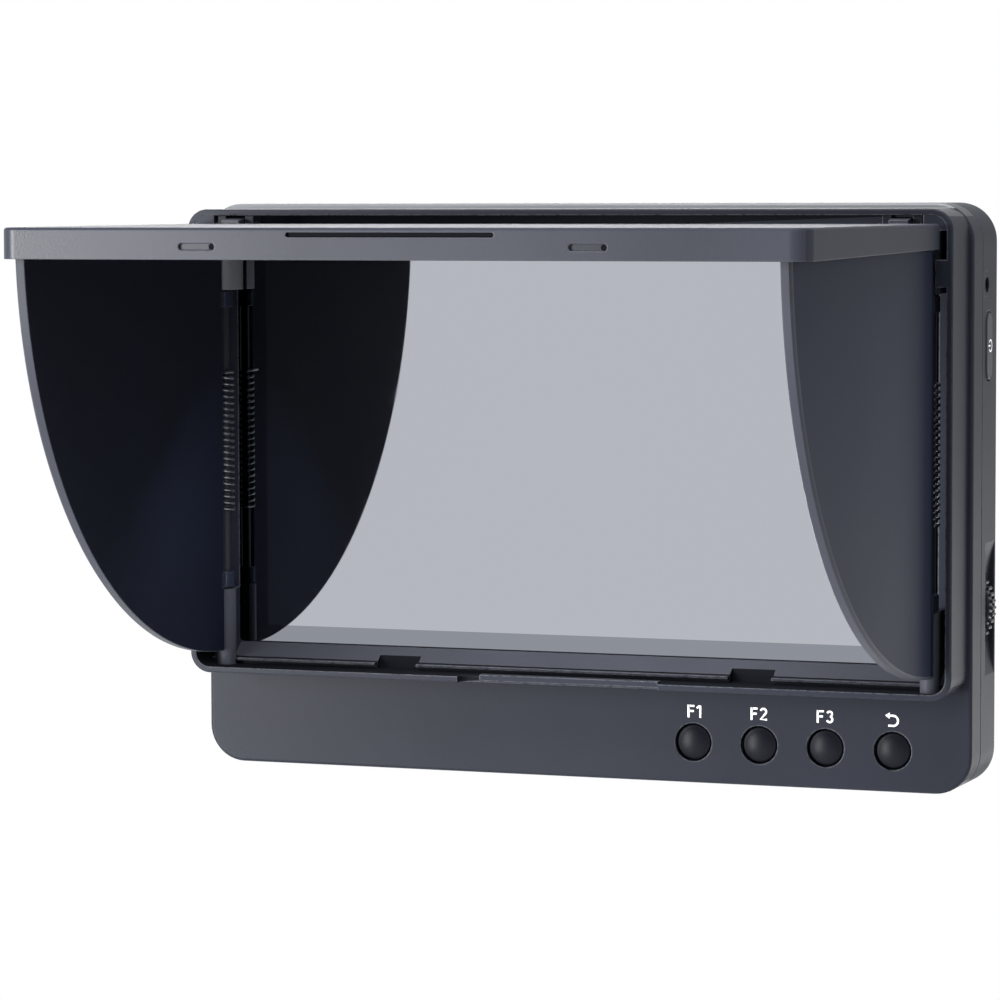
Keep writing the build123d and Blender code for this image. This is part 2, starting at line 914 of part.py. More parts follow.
def round_jack(side, length, block_size, bore_radius, y, z):
    """A moulded jack block with a round bore that opens to one side."""
    mouth = inner_half
    half = block_size / 2
    span = sorted((side * (mouth - length), side * mouth))
    body = block(span, (board_back, y + half), (z - half, z + half))
    bore = sorted((side * (mouth - length + jack_floor), side * (mouth + 1)))
    return body - along_x(bore_radius, bore, y, z)


def phone_jack(side, y, z):
    """A round jack with a nose that fills the hole in the case's side wall."""
    nose = sorted((side * (inner_half - 0.1), side * half_width))
    jack = round_jack(side, jack_length, jack_block, jack_bore_radius, y, z)
    jack += along_x(jack_nose_radius, nose, y, z)
    return jack - along_x(jack_bore_radius, sorted((side * (inner_half - 1), side * (half_width + 1))), y, z)


def headphone_jack():
    return phone_jack(1, face_y + headphone_depth, headphone_z)


def av_in_jack():
    return phone_jack(-1, face_y + port_depth, av_z)


def dc_in_jack():
    """The jack and, as a solid of its own, the pin that stands in its bore."""
    y = face_y + port_depth
    jack = round_jack(-1, dc_length, dc_block, dc_bore_radius, y, dc_z)
    pin = (-inner_half + dc_pin_inset, -inner_half + dc_length - jack_floor)
    return [jack, along_x(dc_pin_radius, pin, y, dc_z)]


def hdmi_socket(z):
    """A folded metal shell with a contact tongue, open to the left."""
    y = face_y + port_depth
    mouth = -half_width + port_recess
    inner = mouth + hdmi_length
    shell = sideways(Pos(y, z) * RectangleRounded(hdmi_height, hdmi_width, 0.8), mouth, inner)
    hollow = RectangleRounded(hdmi_height - 2 * hdmi_sheet, hdmi_width - 2 * hdmi_sheet, 0.5)
    shell -= sideways(Pos(y, z) * hollow, mouth - 1, inner - hdmi_floor)
    tongue = Rectangle(hdmi_tongue_thickness, hdmi_tongue_width)
    shell += sideways(Pos(y, z) * tongue, mouth + hdmi_floor, inner - hdmi_floor + 0.1)
    foot_x = (mouth + port_recess + wall + board_side_gap, inner)
    foot_y = (board_back, y - hdmi_height / 2 + hdmi_sheet)
    return shell + block(foot_x, foot_y, (z - hdmi_width / 2, z + hdmi_width / 2))


# Fixings


def tripod_insert():
    insert = along_z(insert_radius, (0, insert_length), 0, 0)
    for level in (insert_length / 3, 2 * insert_length / 3):
        ring = along_z(insert_radius + 1, (level - 0.4, level + 0.4), 0, 0)
        insert -= ring - along_z(insert_radius - 0.4, (level - 1, level + 1), 0, 0)
    return insert - along_z(thread_radius, (-1, insert_length + 1), 0, 0)


def cross_recess(x, y, z, width):
    """The cross in a screw head that faces the rear."""
    cross = Rectangle(cross_slot, width) + Rectangle(width, cross_slot)
    return facing(Pos(x, z) * cross, y - cross_depth, y + 1)


def case_screws():
    screws = []
    floor = case_back - screw_well_depth
    for x, z in screw_spots:
        screw = along_y(screw_head_radius, (floor, floor + screw_head_height), x, z)
        screw += along_y(screw_radius, (face_y + pilot_floor + 0.5, floor + 0.1), x, z)
        screws.append(screw - cross_recess(x, floor + screw_head_height, z, screw_head_radius * 1.3))
    return screws


def plate_screws():
    screws = []
    seat = case_back + plate_thickness - plate_screw_head_height
    for x, z in plate_screw_spots:
        screw = along_y(plate_screw_head_radius, (seat, seat + plate_screw_head_height), x, z)
        screw += along_y(plate_screw_radius, (case_back - plate_screw_length + 0.5, seat + 0.1), x, z)
        top = seat + plate_screw_head_height
        screws.append(screw - cross_recess(x, top, z, plate_screw_head_radius * 1.3))
    return screws


# Battery plate


def plate_rail(side):
    """One side rail with hooks that a battery slides under."""
    outer = side * plate_width / 2
    inner = side * (plate_width / 2 - rail_width)
    base = case_back + plate_thickness - 0.1
    top = case_back + plate_thickness + rail_height
    low = plate_z - plate_height / 2 + plate_corner
    high = plate_z + plate_height / 2 - plate_corner
    rail = block(sorted((inner, outer)), (base, top), (low, high))
    lip_x = sorted((inner - side * rail_hook, inner + side * 0.1))
    rail += block(lip_x, (top - rail_hook_thickness, top), (low, high))
    for offset in (-rail_notch_spacing / 2, rail_notch_spacing / 2):
        middle = plate_z + offset
        notch_x = sorted((inner - side * 3, inner))
        rail -= block(notch_x, (base, top + 1), (middle - rail_notch / 2, middle + rail_notch / 2))
    return rail


def release_place():
    return plate_z + plate_height / 2 - release_below_top


def release_flange_back():
    return case_back + 0.1 + release_travel + release_flange_thickness


def contact_block_span():
    low = plate_z - plate_height / 2 + plate_corner
    return (low, low + contact_block_length)


def battery_plate():
    face = case_back + plate_thickness
    outline = Pos(0, plate_z) * RectangleRounded(plate_width, plate_height, plate_corner)
    plate = facing(outline, case_back, face)
    top = plate.faces().sort_by(Axis.Y)[-1]
    plate = chamfer(top.edges(), plate_edge)
    plate += plate_rail(-1) + plate_rail(1)
    half = contact_block_width / 2
    plate += block((-half, half), (face - 0.1, face + contact_block_height), contact_block_span())
    mouth = RectangleRounded(release_width + 2 * release_gap, release_length + 2 * release_gap, 0.5)
    reach = 2 * (release_gap + release_flange)
    pocket = RectangleRounded(release_width + reach, release_length + reach, 0.5)
    plate -= facing(Pos(0, release_place()) * mouth, case_back - 1, face + 1)
    plate -= facing(Pos(0, release_place()) * pocket, case_back - 1, release_flange_back() + 0.1)
    for x, z in plate_screw_spots:
        plate -= along_y(plate_screw_radius + plate_screw_gap, (case_back - 1, face + 1), x, z)
        seat = (face - plate_screw_head_height, face + 1)
        plate -= along_y(plate_screw_head_radius + plate_screw_gap, seat, x, z)
    return plate


def battery_contacts():
    """Spring blades that stand on the contact block and point up towards the battery."""
    blades = []
    face = case_back + plate_thickness
    high = contact_block_span()[1]
    for n in range(contact_count):
        x = (n - (contact_count - 1) / 2) * contact_pitch
        middle = face + contact_block_height / 2
        blades.append(
            block(
                (x - contact_width / 2, x + contact_width / 2),
                (middle - contact_sheet / 2, middle + contact_sheet / 2),
                (high, high + contact_length),
            )
        )
    return blades


def battery_release():
    """The wedge-nosed latch that stands up behind a battery and is pressed in to let it go."""
    z = release_place()
    nose = case_back + plate_thickness + release_proud
    base = release_flange_back() - release_flange_thickness
    low = z - release_length / 2
    high = z + release_length / 2
    slope_end = nose - release_proud + release_gap
    outline = [(base, low), (nose, low), (nose, low + release_nose), (slope_end, high), (base, high)]
    latch = sideways(Polygon(*outline, align=None), -release_width / 2, release_width / 2)
    flange = Rectangle(release_width + 2 * release_flange, release_length + 2 * release_flange)
    return latch + facing(Pos(0, z) * flange, base, release_flange_back())


# Hood lid


def lid_outline(inset):
    """The lid's outline in plan, with rounded front corners."""
    half = lid_half - inset
    front = lid_front + inset
    rear = lid_rear
    radius = max(lid_corner - inset, 0.5)
    sketch = Pos(0, (front + rear) / 2) * Rectangle(2 * half, rear - front)
    corners = sketch.vertices().filter_by(lambda v: v.Y < front + 0.1)
    return fillet(corners, radius)


def lid_tray():
    bottom = lid_top - lid_front_height
    tray = extrude(Pos(0, 0, bottom) * lid_outline(0), amount=lid_front_height)
    top = tray.faces().sort_by(Axis.Z)[-1]
    edges = top.edges().filter_by(lambda e: e.center().Y < lid_rear - 0.1)
    tray = fillet(edges, lid_edge_round)
    hollow = extrude(Pos(0, 0, bottom - 1) * lid_outline(lid_wall), amount=lid_underside - bottom + 1)
    inner = lid_half - lid_wall
    hollow += block((-inner, inner), (lid_rear - lid_corner, lid_rear + 1), (bottom - 1, lid_underside))
    tray -= hollow
    rise = lid_front_height - lid_rear_height
    wedge = [(lid_front + lid_corner, bottom), (lid_rear + 1, bottom), (lid_rear + 1, bottom + rise)]
    return tray - sideways(Polygon(*wedge, align=None), -lid_half - 1, lid_half + 1)


def lid_marks():
    """The thumb groove and the two latch windows in the lid's front wall."""
    groove_z = lid_top - thumb_groove_below_top
    groove = Pos(0, groove_z) * SlotOverall(thumb_groove_width, thumb_groove_height)
    cuts = facing(groove, lid_front - 1, lid_front + recess_depth)
    window_z = lid_top - latch_window_below_top
    for side in (-1, 1):
        x = side * latch_spacing / 2
        window = Pos(x, window_z) * SlotOverall(latch_window_width, latch_window_height)
        cuts += facing(window, lid_front - 1, lid_front + recess_depth)
        hole_x = x + (latch_window_width - latch_window_height) / 2
        through = (lid_front - 1, lid_front + lid_wall + 1)
        cuts += along_y(latch_hole_diameter / 2, through, hole_x, window_z)
    return cuts


def lid_arm(side):
    span = sorted((side * (lid_arm_x - lid_arm_width / 2), side * (lid_arm_x + lid_arm_width / 2)))
    top = lid_axis_z + lid_barrel_radius
    bottom = lid_axis_z - lid_barrel_radius / 2
    arm = block(span, (lid_rear - lid_arm_root, lid_axis_y), (bottom, lid_top))
    arm += block(span, (lid_rear - lid_arm_step, lid_axis_y), (lid_top - 0.1, top))
    arm += along_x(lid_barrel_radius, span, lid_axis_y, lid_axis_z)
    return arm


def lid_arm_bore(side):
    span = lid_pin_span(side)
    return along_x(lid_pin_radius + running_clearance, span, lid_axis_y, lid_axis_z)


def lid():
    whole = lid_tray() - lid_marks()
    for side in (-1, 1):
        whole += lid_arm(side)
        whole -= lid_arm_bore(side)
    return whole


def lid_hinge_pins():
    return [along_x(lid_pin_radius, lid_pin_span(side), lid_axis_y, lid_axis_z) for side in (-1, 1)]


# Side panels, modelled on the left and mirrored for the right


def side_plate(rod_y):
    """The quarter-ellipse plate, with its inner face a little inboard of the rod's axis."""
    oval = Pos(rod_y, panel_curve_z) * Ellipse(rod_y - panel_tip, panel_curve_height)
    inner = -rod_x + plate_face_inboard
    plate = sideways(oval, inner - panel_plate, inner)
    window_y = (panel_tip - 1, rod_y - panel_start)
    plate = plate & block((inner - panel_plate - 1, inner + 1), window_y, (panel_bottom - 1, panel_top))
    outer_face = plate.faces().sort_by(Axis.X)[0]
    curved = outer_face.edges().sort_by(Edge.length)[-1]
    return chamfer(curved, panel_edge_bevel)


def panel_lug(rod_y, low):
    """A lug round the rod and the web that joins it to the plate."""
    span = (low, low + lug_height)
    inner = -rod_x + plate_face_inboard
    lug = along_z(lug_radius, span, -rod_x, rod_y)
    return lug + block((inner - panel_plate, inner), (rod_y - panel_start - 1, rod_y), span)


def side_panel(rod_y):
    lower = lower_post_top + lug_end_gap
    upper = upper_post_bottom - lug_end_gap - lug_height
    panel = side_plate(rod_y) + panel_lug(rod_y, lower) + panel_lug(rod_y, upper)
    return panel - along_z(rod_radius + running_clearance, (0, case_height), -rod_x, rod_y)


def hinge_rod(side, rod_y):
    return along_z(rod_radius, (floor_z + 1, well_top - 1), side * rod_x, rod_y)


def torsion_spring(rod_y):
    """A coil round the rod, as a ribbed sleeve, with one leg on the panel and one towards the case."""
    wire = spring_wire / 2
    outer = spring_inner_radius + spring_wire
    pitch = (spring_top - spring_bottom - spring_wire) / spring_turns
    sleeve = Pos(0, 0, spring_bottom) * RegularPolygon(spring_inner_radius + wire, spring_sides)
    coil = extrude(sleeve, amount=spring_top - spring_bottom)
    for turn in range(spring_turns + 1):
        ring = Pos(0, 0, spring_bottom + turn * pitch) * RegularPolygon(outer, spring_sides)
        coil += extrude(ring, amount=spring_wire)
    bore = Pos(0, 0, spring_bottom - 1) * RegularPolygon(spring_inner_radius, spring_sides)
    coil -= extrude(bore, amount=spring_top - spring_bottom + 2)
    coil = Pos(-rod_x, rod_y, 0) * coil
    middle = spring_inner_radius + wire
    leg_x = -rod_x + plate_face_inboard + wire + running_clearance
    coil += along_y(wire, (rod_y - panel_leg_length, rod_y - middle), leg_x, spring_top - wire)
    case_leg = (rod_y + middle, rod_y + middle + case_leg_length)
    return coil + along_y(wire, case_leg, -rod_x, spring_bottom + wire)


def on_right(part):
    """A left-hand moving part, carried to the right rod and turned in by the toe-in."""
    moved = mirrored(part)
    turn = Pos(rod_x, right_rod_y, 0) * Rot(0, 0, -right_toe_in) * Pos(-rod_x, -right_rod_y, 0)
    return turn * moved


def build():
    """Every node by name."""
    parts = {
        "front_bezel": front_bezel(),
        "rear_shell": rear_shell(),
        "screen_glass": screen_glass(),
        "glass_gasket": glass_gasket(),
        "lcd_panel": lcd_panel(),
        "backlight": backlight(),
        "panel_tray": panel_tray(),
        "main_board": main_board(),
        "side_board": side_board(),
        "board_spacers": board_spacers(),
        "board_screws": board_screws(),
        "video_chip": video_chip(),
        "heat_spreader": heat_spreader(),
        "button_board": button_board(),
        "tact_switches": tact_switches(),
        "power_button": power_button(),
        "power_switch": power_switch(),
        "menu_dial": menu_dial(),
        "dial_encoder": dial_encoder(),
        "headphone_jack": headphone_jack(),
        "av_in_jack": av_in_jack(),
        "dc_in_jack": dc_in_jack(),
        "hdmi_in_socket": hdmi_socket(hdmi_in_z),
        "hdmi_out_socket": hdmi_socket(hdmi_out_z),
        "tripod_insert": tripod_insert(),
        "case_screws": case_screws(),
        "battery_plate": battery_plate(),
        "plate_screws": plate_screws(),
        "battery_contacts": battery_contacts(),
        "battery_release": battery_release(),
        "lid": lid(),
        "lid_hinge_pins": lid_hinge_pins(),
        "left_side_panel": side_panel(left_rod_y),
        "right_side_panel": on_right(side_panel(right_rod_y)),
        "left_hinge_rod": hinge_rod(-1, left_rod_y),
        "right_hinge_rod": hinge_rod(1, right_rod_y),
        "left_torsion_spring": torsion_spring(left_rod_y),
        "right_torsion_spring": on_right(torsion_spring(right_rod_y)),
    }
    for name, x in zip(("f1_button", "f2_button", "f3_button", "return_button"), button_xs):
        parts[name] = round_button(x)
    return parts


os.makedirs("parts", exist_ok=True)
for node, part in build().items():
    solids = part if isinstance(part, list) else part.solids()
    shape = solids[0] if len(solids) == 1 else Compound(children=list(solids))
    export_step(shape, f"parts/{node}.step")
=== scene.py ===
"""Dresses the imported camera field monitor: finishes, moulded detail, print, springs, light and camera."""

import logging
from collections.abc import Iterable, Sequence
from dataclasses import dataclass
from enum import Enum
from math import acos, asin, cos, pi, radians, sin, sqrt

import bmesh
import bpy
from mathutils import Matrix, Vector


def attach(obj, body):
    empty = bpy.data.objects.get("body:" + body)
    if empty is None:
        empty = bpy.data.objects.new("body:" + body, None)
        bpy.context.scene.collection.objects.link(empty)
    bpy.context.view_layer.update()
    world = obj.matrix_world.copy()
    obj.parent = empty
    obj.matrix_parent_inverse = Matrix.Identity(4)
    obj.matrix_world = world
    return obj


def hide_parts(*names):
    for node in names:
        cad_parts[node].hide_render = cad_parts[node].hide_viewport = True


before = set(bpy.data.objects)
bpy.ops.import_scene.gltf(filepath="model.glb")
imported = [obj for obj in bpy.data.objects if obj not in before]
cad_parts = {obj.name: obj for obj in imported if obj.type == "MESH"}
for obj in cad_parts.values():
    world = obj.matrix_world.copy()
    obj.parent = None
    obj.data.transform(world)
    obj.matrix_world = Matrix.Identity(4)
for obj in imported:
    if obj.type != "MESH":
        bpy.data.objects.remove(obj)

log = logging.getLogger("field_monitor")
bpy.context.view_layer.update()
MM = 0.001

Colour = tuple[float, float, float]
Point = tuple[float, float, float]
Flat = tuple[float, float]
Socket = bpy.types.NodeSocket
Outputs = bpy.types.NodeOutputs
Inputs = bpy.types.NodeInputs


# Node trees


class Graph:
    """A hand for wiring one node tree."""

    def __init__(self, tree: bpy.types.NodeTree) -> None:
        """Takes the tree to wire.

        Args:
            tree: The shader or geometry tree.
        """
        self.tree = tree

    def add(self, kind: str, values: dict[str, object] | None = None, **settings: object) -> bpy.types.Node:
        """Adds a node.

        Args:
            kind: The node's type name.
            values: Values for its input sockets, by name or number.
            **settings: The node's own properties.

        Returns:
            The new node.
        """
        node = self.tree.nodes.new(kind)
        for key, value in settings.items():
            setattr(node, key, value)
        for key, value in (values or {}).items():
            self.feed(value, node.inputs[key])
        return node

    def feed(self, value: object, socket: Socket) -> None:
        """Links a socket's output into an input, or sets a plain value on it.

        Args:
            value: An output socket, or a plain value.
            socket: The input that gets it.
        """
        if isinstance(value, Socket):
            self.tree.links.new(value, socket)
        else:
            socket.default_value = value

    def math(self, operation: str, *terms: object, clamp: bool = False) -> Socket:
        """Adds a maths node and returns its result.

        Args:
            operation: The maths node's operation.
            *terms: Its inputs, as sockets or numbers.
            clamp: Whether the result stays between 0 and 1.

        Returns:
            The node's output socket.
        """
        node = self.add("ShaderNodeMath", dict(enumerate(terms)), operation=operation, use_clamp=clamp)
        return node.outputs[0]

    def blend(self, share: object, first: object, second: object) -> Socket:
        """Mixes two colours.

        Args:
            share: How much of the second colour shows.
            first: The colour at 0.
            second: The colour at 1.

        Returns:
            The mixed colour.
        """
        node = self.add("ShaderNodeMix", {0: share, 6: first, 7: second}, data_type="RGBA")
        return node.outputs[2]

    def spot(self) -> Socket:
        """The shaded spot in its object's own coordinates."""
        return self.add("ShaderNodeTexCoord").outputs["Object"]

    def noise(self, spot: Socket, scale: object, detail: float, distortion: float = 0.0) -> Socket:
        """Adds a noise texture.

        Args:
            spot: Where it is read.
            scale: How fine it is.
            detail: How many finer layers it has.
            distortion: How far it is stirred.

        Returns:
            The noise, about 0 to 1.
        """
        values = {"Vector": spot, "Scale": scale, "Detail": detail, "Distortion": distortion}
        return self.add("ShaderNodeTexNoise", values).outputs["Fac"]

    def ramp(self, value: Socket, low: float, high: float, first: float = 0.0, last: float = 1.0) -> Socket:
        """Maps a range of values to another and keeps to its ends.

        Args:
            value: What is mapped.
            low: The value that gives the first result.
            high: The value that gives the last one.
            first: The result at the low end.
            last: The result at the high end.

        Returns:
            The mapped value.
        """
        values = {"Value": value, "From Min": low, "From Max": high, "To Min": first, "To Max": last}
        return self.add("ShaderNodeMapRange", values).outputs[0]

    def moved(self, geometry: Socket, reach: object = (0.0, 0.0, 0.0), turn: float = 0.0) -> Socket:
        """Turns geometry about the X axis and then moves it.

        Args:
            geometry: What is moved.
            reach: How far.
            turn: How far it is turned first, in degrees.

        Returns:
            The moved geometry.
        """
        values = {"Geometry": geometry, "Translation": reach, "Rotation": (radians(turn), 0.0, 0.0)}
        return self.add("GeometryNodeTransform", values).outputs[0]

    def copies(self, points: Socket, shape: Socket) -> Socket:
        """Puts a copy of a shape on each point.

        Args:
            points: The points.
            shape: What is copied.

        Returns:
            The copies.
        """
        return self.add("GeometryNodeInstanceOnPoints", {"Points": points, "Instance": shape}).outputs[0]


def rgba(colour: Colour) -> tuple[float, float, float, float]:
    """A colour with full opacity."""
    return (*colour, 1.0)


class ShaderGroup:
    """A node group that several finishes share, built the first time that one asks for it."""

    name: str = ""
    takes: tuple[tuple[str, str, object], ...] = ()
    gives: tuple[tuple[str, str], ...] = ()

    def tree(self) -> bpy.types.NodeTree:
        """Finds or builds the group.

        Returns:
            The shader node group.
        """
        found = bpy.data.node_groups.get(self.name)
        if found:
            return found
        tree = bpy.data.node_groups.new(self.name, "ShaderNodeTree")
        for name, kind, value in self.takes:
            socket = tree.interface.new_socket(name, in_out="INPUT", socket_type=f"NodeSocket{kind}")
            socket.default_value = value
        for name, kind in self.gives:
            tree.interface.new_socket(name, in_out="OUTPUT", socket_type=f"NodeSocket{kind}")
        graph = Graph(tree)
        self.wire(graph, graph.add("NodeGroupInput").outputs, graph.add("NodeGroupOutput").inputs)
        return tree

    def wire(self, graph: Graph, taken: Outputs, given: Inputs) -> None:
        """Wires the group's inside.

        Args:
            graph: The group's graph.
            taken: What comes in.
            given: What goes out.
        """
        raise NotImplementedError

    def place(self, graph: Graph, **values: object) -> Outputs:
        """Puts the group in a material.

        Args:
            graph: The material's graph.
            **values: The group's inputs, with underscores for spaces.

        Returns:
            The group node's outputs.
        """
        node = graph.add("ShaderNodeGroup", node_tree=self.tree())
        for key, value in values.items():
            graph.feed(value, node.inputs[key.replace("_", " ")])
        return node.outputs


class MouldGrain(ShaderGroup):
    """The fine spark-eroded grain of a moulded part, and the slow drift of its tone."""

    name = "mould_grain"
    takes = (("Grain Scale", "Float", 2500.0), ("Drift Scale", "Float", 22.0))
    gives = (("Height", "Float"), ("Drift", "Float"))

    def wire(self, graph: Graph, taken: Outputs, given: Inputs) -> None:
        """Wires the grain from object coordinates.

        Args:
            graph: The group's graph.
            taken: What comes in.
            given: What goes out.
        """
        spot = graph.spot()
        fine = graph.noise(spot, taken["Grain Scale"], detail=2.0)
        cells = graph.add("ShaderNodeTexVoronoi", {"Vector": spot, "Scale": taken["Grain Scale"]})
        pits = graph.math("MULTIPLY", cells.outputs["Distance"], 0.5)
        graph.feed(graph.math("ADD", pits, fine), given["Height"])
        graph.feed(graph.noise(spot, taken["Drift Scale"], detail=3.0), given["Drift"])


class EdgeWearAndHighlight(ShaderGroup):
    """Outer edges a little paler, slightly broken up by noise: partly rubbed by use, partly a painted
    highlight along the edges.
    """

    name = "edge_wear_and_highlight"
    takes = (
        ("Colour", "Color", (0, 0, 0, 1)),
        ("Worn", "Color", (1, 1, 1, 1)),
        ("Radius", "Float", 0.00035),
        ("Amount", "Float", 0.3),
    )
    gives = (("Colour", "Color"),)

    def wire(self, graph: Graph, taken: Outputs, given: Inputs) -> None:
        """Wires the paler edges, partly rubbed and partly a painted highlight, from how much of the body lies
        behind each spot, which is least at an outer edge.

        Args:
            graph: The group's graph.
            taken: What comes in.
            given: What goes out.
        """
        reach = {"Distance": taken["Radius"]}
        inward = graph.add("ShaderNodeAmbientOcclusion", reach, samples=6, inside=True, only_local=True)
        thin = graph.math("SUBTRACT", 1.0, inward.outputs["AO"])
        onset, steepness = 0.08, 2.5
        edge = graph.math("MULTIPLY", graph.math("SUBTRACT", thin, onset), steepness, clamp=True)
        patches = graph.noise(graph.spot(), scale=1100.0, detail=2.0)
        broken = graph.ramp(patches, low=0.25, high=0.55)
        mask = graph.math("MULTIPLY", graph.math("MULTIPLY", edge, broken), taken["Amount"])
        graph.feed(graph.blend(mask, taken["Colour"], taken["Worn"]), given["Colour"])


class DustFilm(ShaderGroup):
    """A thin film of dust on what faces upwards."""

    name = "dust_film"
    takes = (
        ("Colour", "Color", (0, 0, 0, 1)),
        ("Dust", "Color", (0.35, 0.33, 0.3, 1)),
        ("Amount", "Float", 0.1),
    )
    gives = (("Colour", "Color"), ("Mask", "Float"))

    def wire(self, graph: Graph, taken: Outputs, given: Inputs) -> None:
        """Wires the film from the upward part of the normal and two noises.

        Args:
            graph: The group's graph.
            taken: What comes in.
            given: What goes out.
        """
        normal = graph.add("ShaderNodeNewGeometry").outputs["Normal"]
        upward = graph.add("ShaderNodeSeparateXYZ", {0: normal}).outputs["Z"]
        level = graph.ramp(upward, low=0.55, high=1.0)
        spot = graph.spot()
        cloud = graph.noise(spot, scale=45.0, detail=5.0)
        mottled = graph.math("MULTIPLY", cloud, graph.noise(spot, scale=1400.0, detail=1.0))
        mask = graph.math("MULTIPLY", graph.math("MULTIPLY", level, mottled), taken["Amount"])
        graph.feed(graph.blend(mask, taken["Colour"], taken["Dust"]), given["Colour"])
        graph.feed(mask, given["Mask"])


class BrushedLines(ShaderGroup):
    """Fine lines drawn along one axis, as on drawn wire and folded sheet."""

    name = "brushed_lines"
    takes = (("Stretch", "Vector", (40.0, 900.0, 900.0)),)
    gives = (("Lines", "Float"),)

    def wire(self, graph: Graph, taken: Outputs, given: Inputs) -> None:
        """Wires the lines from stretched noise.

        Args:
            graph: The group's graph.
            taken: What comes in.
            given: What goes out.
        """
        terms = {0: graph.spot(), 1: taken["Stretch"]}
        drawn = graph.add("ShaderNodeVectorMath", terms, operation="MULTIPLY").outputs[0]
        graph.feed(graph.noise(drawn, scale=1.0, detail=3.0), given["Lines"])


# Finishes


@dataclass(frozen=True)
class Finish:
    """A moulded or painted surface: grain, drift of tone, worn edges carrying a painted highlight, and dust.
    """

    name: str
    slot: str
    colour: Colour
    roughness: float
    specular: float = 0.5
    grain: float = 2500.0
    depth: float = 0.012
    drift: float = 0.25
    # The colour and amount of the paler outer edges: partly rubbed by use, partly a painted highlight along
    # the edges
    worn: Colour = (0.1, 0.1, 0.11)
    wear_and_highlight: float = 0.25
    dust: float = 0.05
    edge: float = 0.3
    spread: float = 0.12

    def material(self) -> bpy.types.Material:
        """Finds or builds the material.

        Returns:
            The Blender material of this finish.
        """
        title = f"finish_{self.name}"
        found = bpy.data.materials.get(title)
        if found:
            return found
        material = bpy.data.materials.new(title)
        material.use_nodes = True
        graph = Graph(material.node_tree)
        self.dress(graph, material.node_tree.nodes["Principled BSDF"])
        return material

    def dress(self, graph: Graph, shader: bpy.types.Node) -> None:
        """Wires the surface into the shader.

        Args:
            graph: The material's graph.
            shader: Its Principled shader.
        """
        grain = MouldGrain().place(graph, Grain_Scale=self.grain)
        paler = tuple(min(1.0, c * (1 + 2 * self.drift)) for c in self.colour)
        tone = graph.blend(grain["Drift"], rgba(self.colour), rgba(paler))
        wear_and_highlight = EdgeWearAndHighlight().place(graph, Colour=tone, Worn=rgba(self.worn), Amount=self.wear_and_highlight)
        dust = DustFilm().place(graph, Colour=wear_and_highlight["Colour"], Amount=self.dust)
        graph.feed(dust["Colour"], shader.inputs["Base Color"])
        rough = graph.math("MULTIPLY_ADD", grain["Drift"], self.spread, self.roughness - self.spread / 2)
        rough = graph.math("ADD", rough, dust["Mask"])
        graph.feed(rough, shader.inputs["Roughness"])
        soft = graph.add("ShaderNodeBevel", {"Radius": self.edge * MM}, samples=6)
        relief = {"Height": grain["Height"], "Distance": self.depth * MM, "Normal": soft.outputs[0]}
        graph.feed(graph.add("ShaderNodeBump", relief).outputs[0], shader.inputs["Normal"])
        shader.inputs["Specular IOR Level"].default_value = self.specular


@dataclass(frozen=True)
class Metal(Finish):
    """Drawn, folded or turned metal with fine lines along one axis."""

    spread: float = 0.2
    stretch: Point = (40.0, 900.0, 900.0)

    def dress(self, graph: Graph, shader: bpy.types.Node) -> None:
        """Wires the metal into the shader.

        Args:
            graph: The material's graph.
            shader: Its Principled shader.
        """
        lines = BrushedLines().place(graph, Stretch=self.stretch)["Lines"]
        darker = tuple(c * (1 - self.drift) for c in self.colour)
        tone = graph.blend(lines, rgba(darker), rgba(self.colour))
        wear_and_highlight = EdgeWearAndHighlight().place(graph, Colour=tone, Worn=rgba(self.worn), Amount=self.wear_and_highlight)
        graph.feed(wear_and_highlight["Colour"], shader.inputs["Base Color"])
        rough = graph.math("MULTIPLY_ADD", lines, self.spread, self.roughness - self.spread / 2)
        graph.feed(rough, shader.inputs["Roughness"])
        bump = graph.add("ShaderNodeBump", {"Height": lines, "Strength": 1.0, "Distance": self.depth * MM})
        graph.feed(bump.outputs[0], shader.inputs["Normal"])
        shader.inputs["Metallic"].default_value = 1.0


@dataclass(frozen=True)
class ScreenMirror(Finish):
    """The dark display behind its glossy glass: it mirrors the room, and its border is darker."""

    border: Colour = (0.26, 0.275, 0.31)
    tinge: Colour = (0.3, 0.36, 0.38)
    mask: Colour = (0.008, 0.009, 0.012)
    cloud: float = 0.06
    smear: float = 0.02
    half_width: float = 77.1
    mask_from: float = 82.0
    low: float = 32.55
    high: float = 118.45

    def dress(self, graph: Graph, shader: bpy.types.Node) -> None:
        """Wires the glass into the shader, with the active area marked off in object coordinates.

        Args:
            graph: The material's graph.
            shader: Its Principled shader.
        """
        spot = graph.spot()
        axes = graph.add("ShaderNodeSeparateXYZ", {0: spot}).outputs
        aside = graph.math("ABSOLUTE", axes["X"])
        beside = graph.math("LESS_THAN", aside, self.half_width * MM)
        above = graph.math("GREATER_THAN", axes["Z"], self.low * MM)
        below = graph.math("LESS_THAN", axes["Z"], self.high * MM)
        active = graph.math("MULTIPLY", graph.math("MULTIPLY", above, below), beside)
        cloud = graph.ramp(graph.noise(spot, scale=9.0, detail=2.0), low=0.0, high=1.0, last=self.cloud)
        face = graph.blend(active, rgba(self.border), graph.blend(cloud, rgba(self.colour), rgba(self.tinge)))
        ends = graph.math("GREATER_THAN", aside, self.mask_from * MM)
        graph.feed(graph.blend(ends, face, rgba(self.mask)), shader.inputs["Base Color"])
        wiped = graph.noise(spot, scale=30.0, detail=6.0, distortion=1.5)
        smear = graph.ramp(wiped, low=0.45, high=0.75)
        graph.feed(graph.math("MULTIPLY_ADD", smear, self.smear, self.roughness), shader.inputs["Roughness"])
        shader.inputs["Metallic"].default_value = 1.0


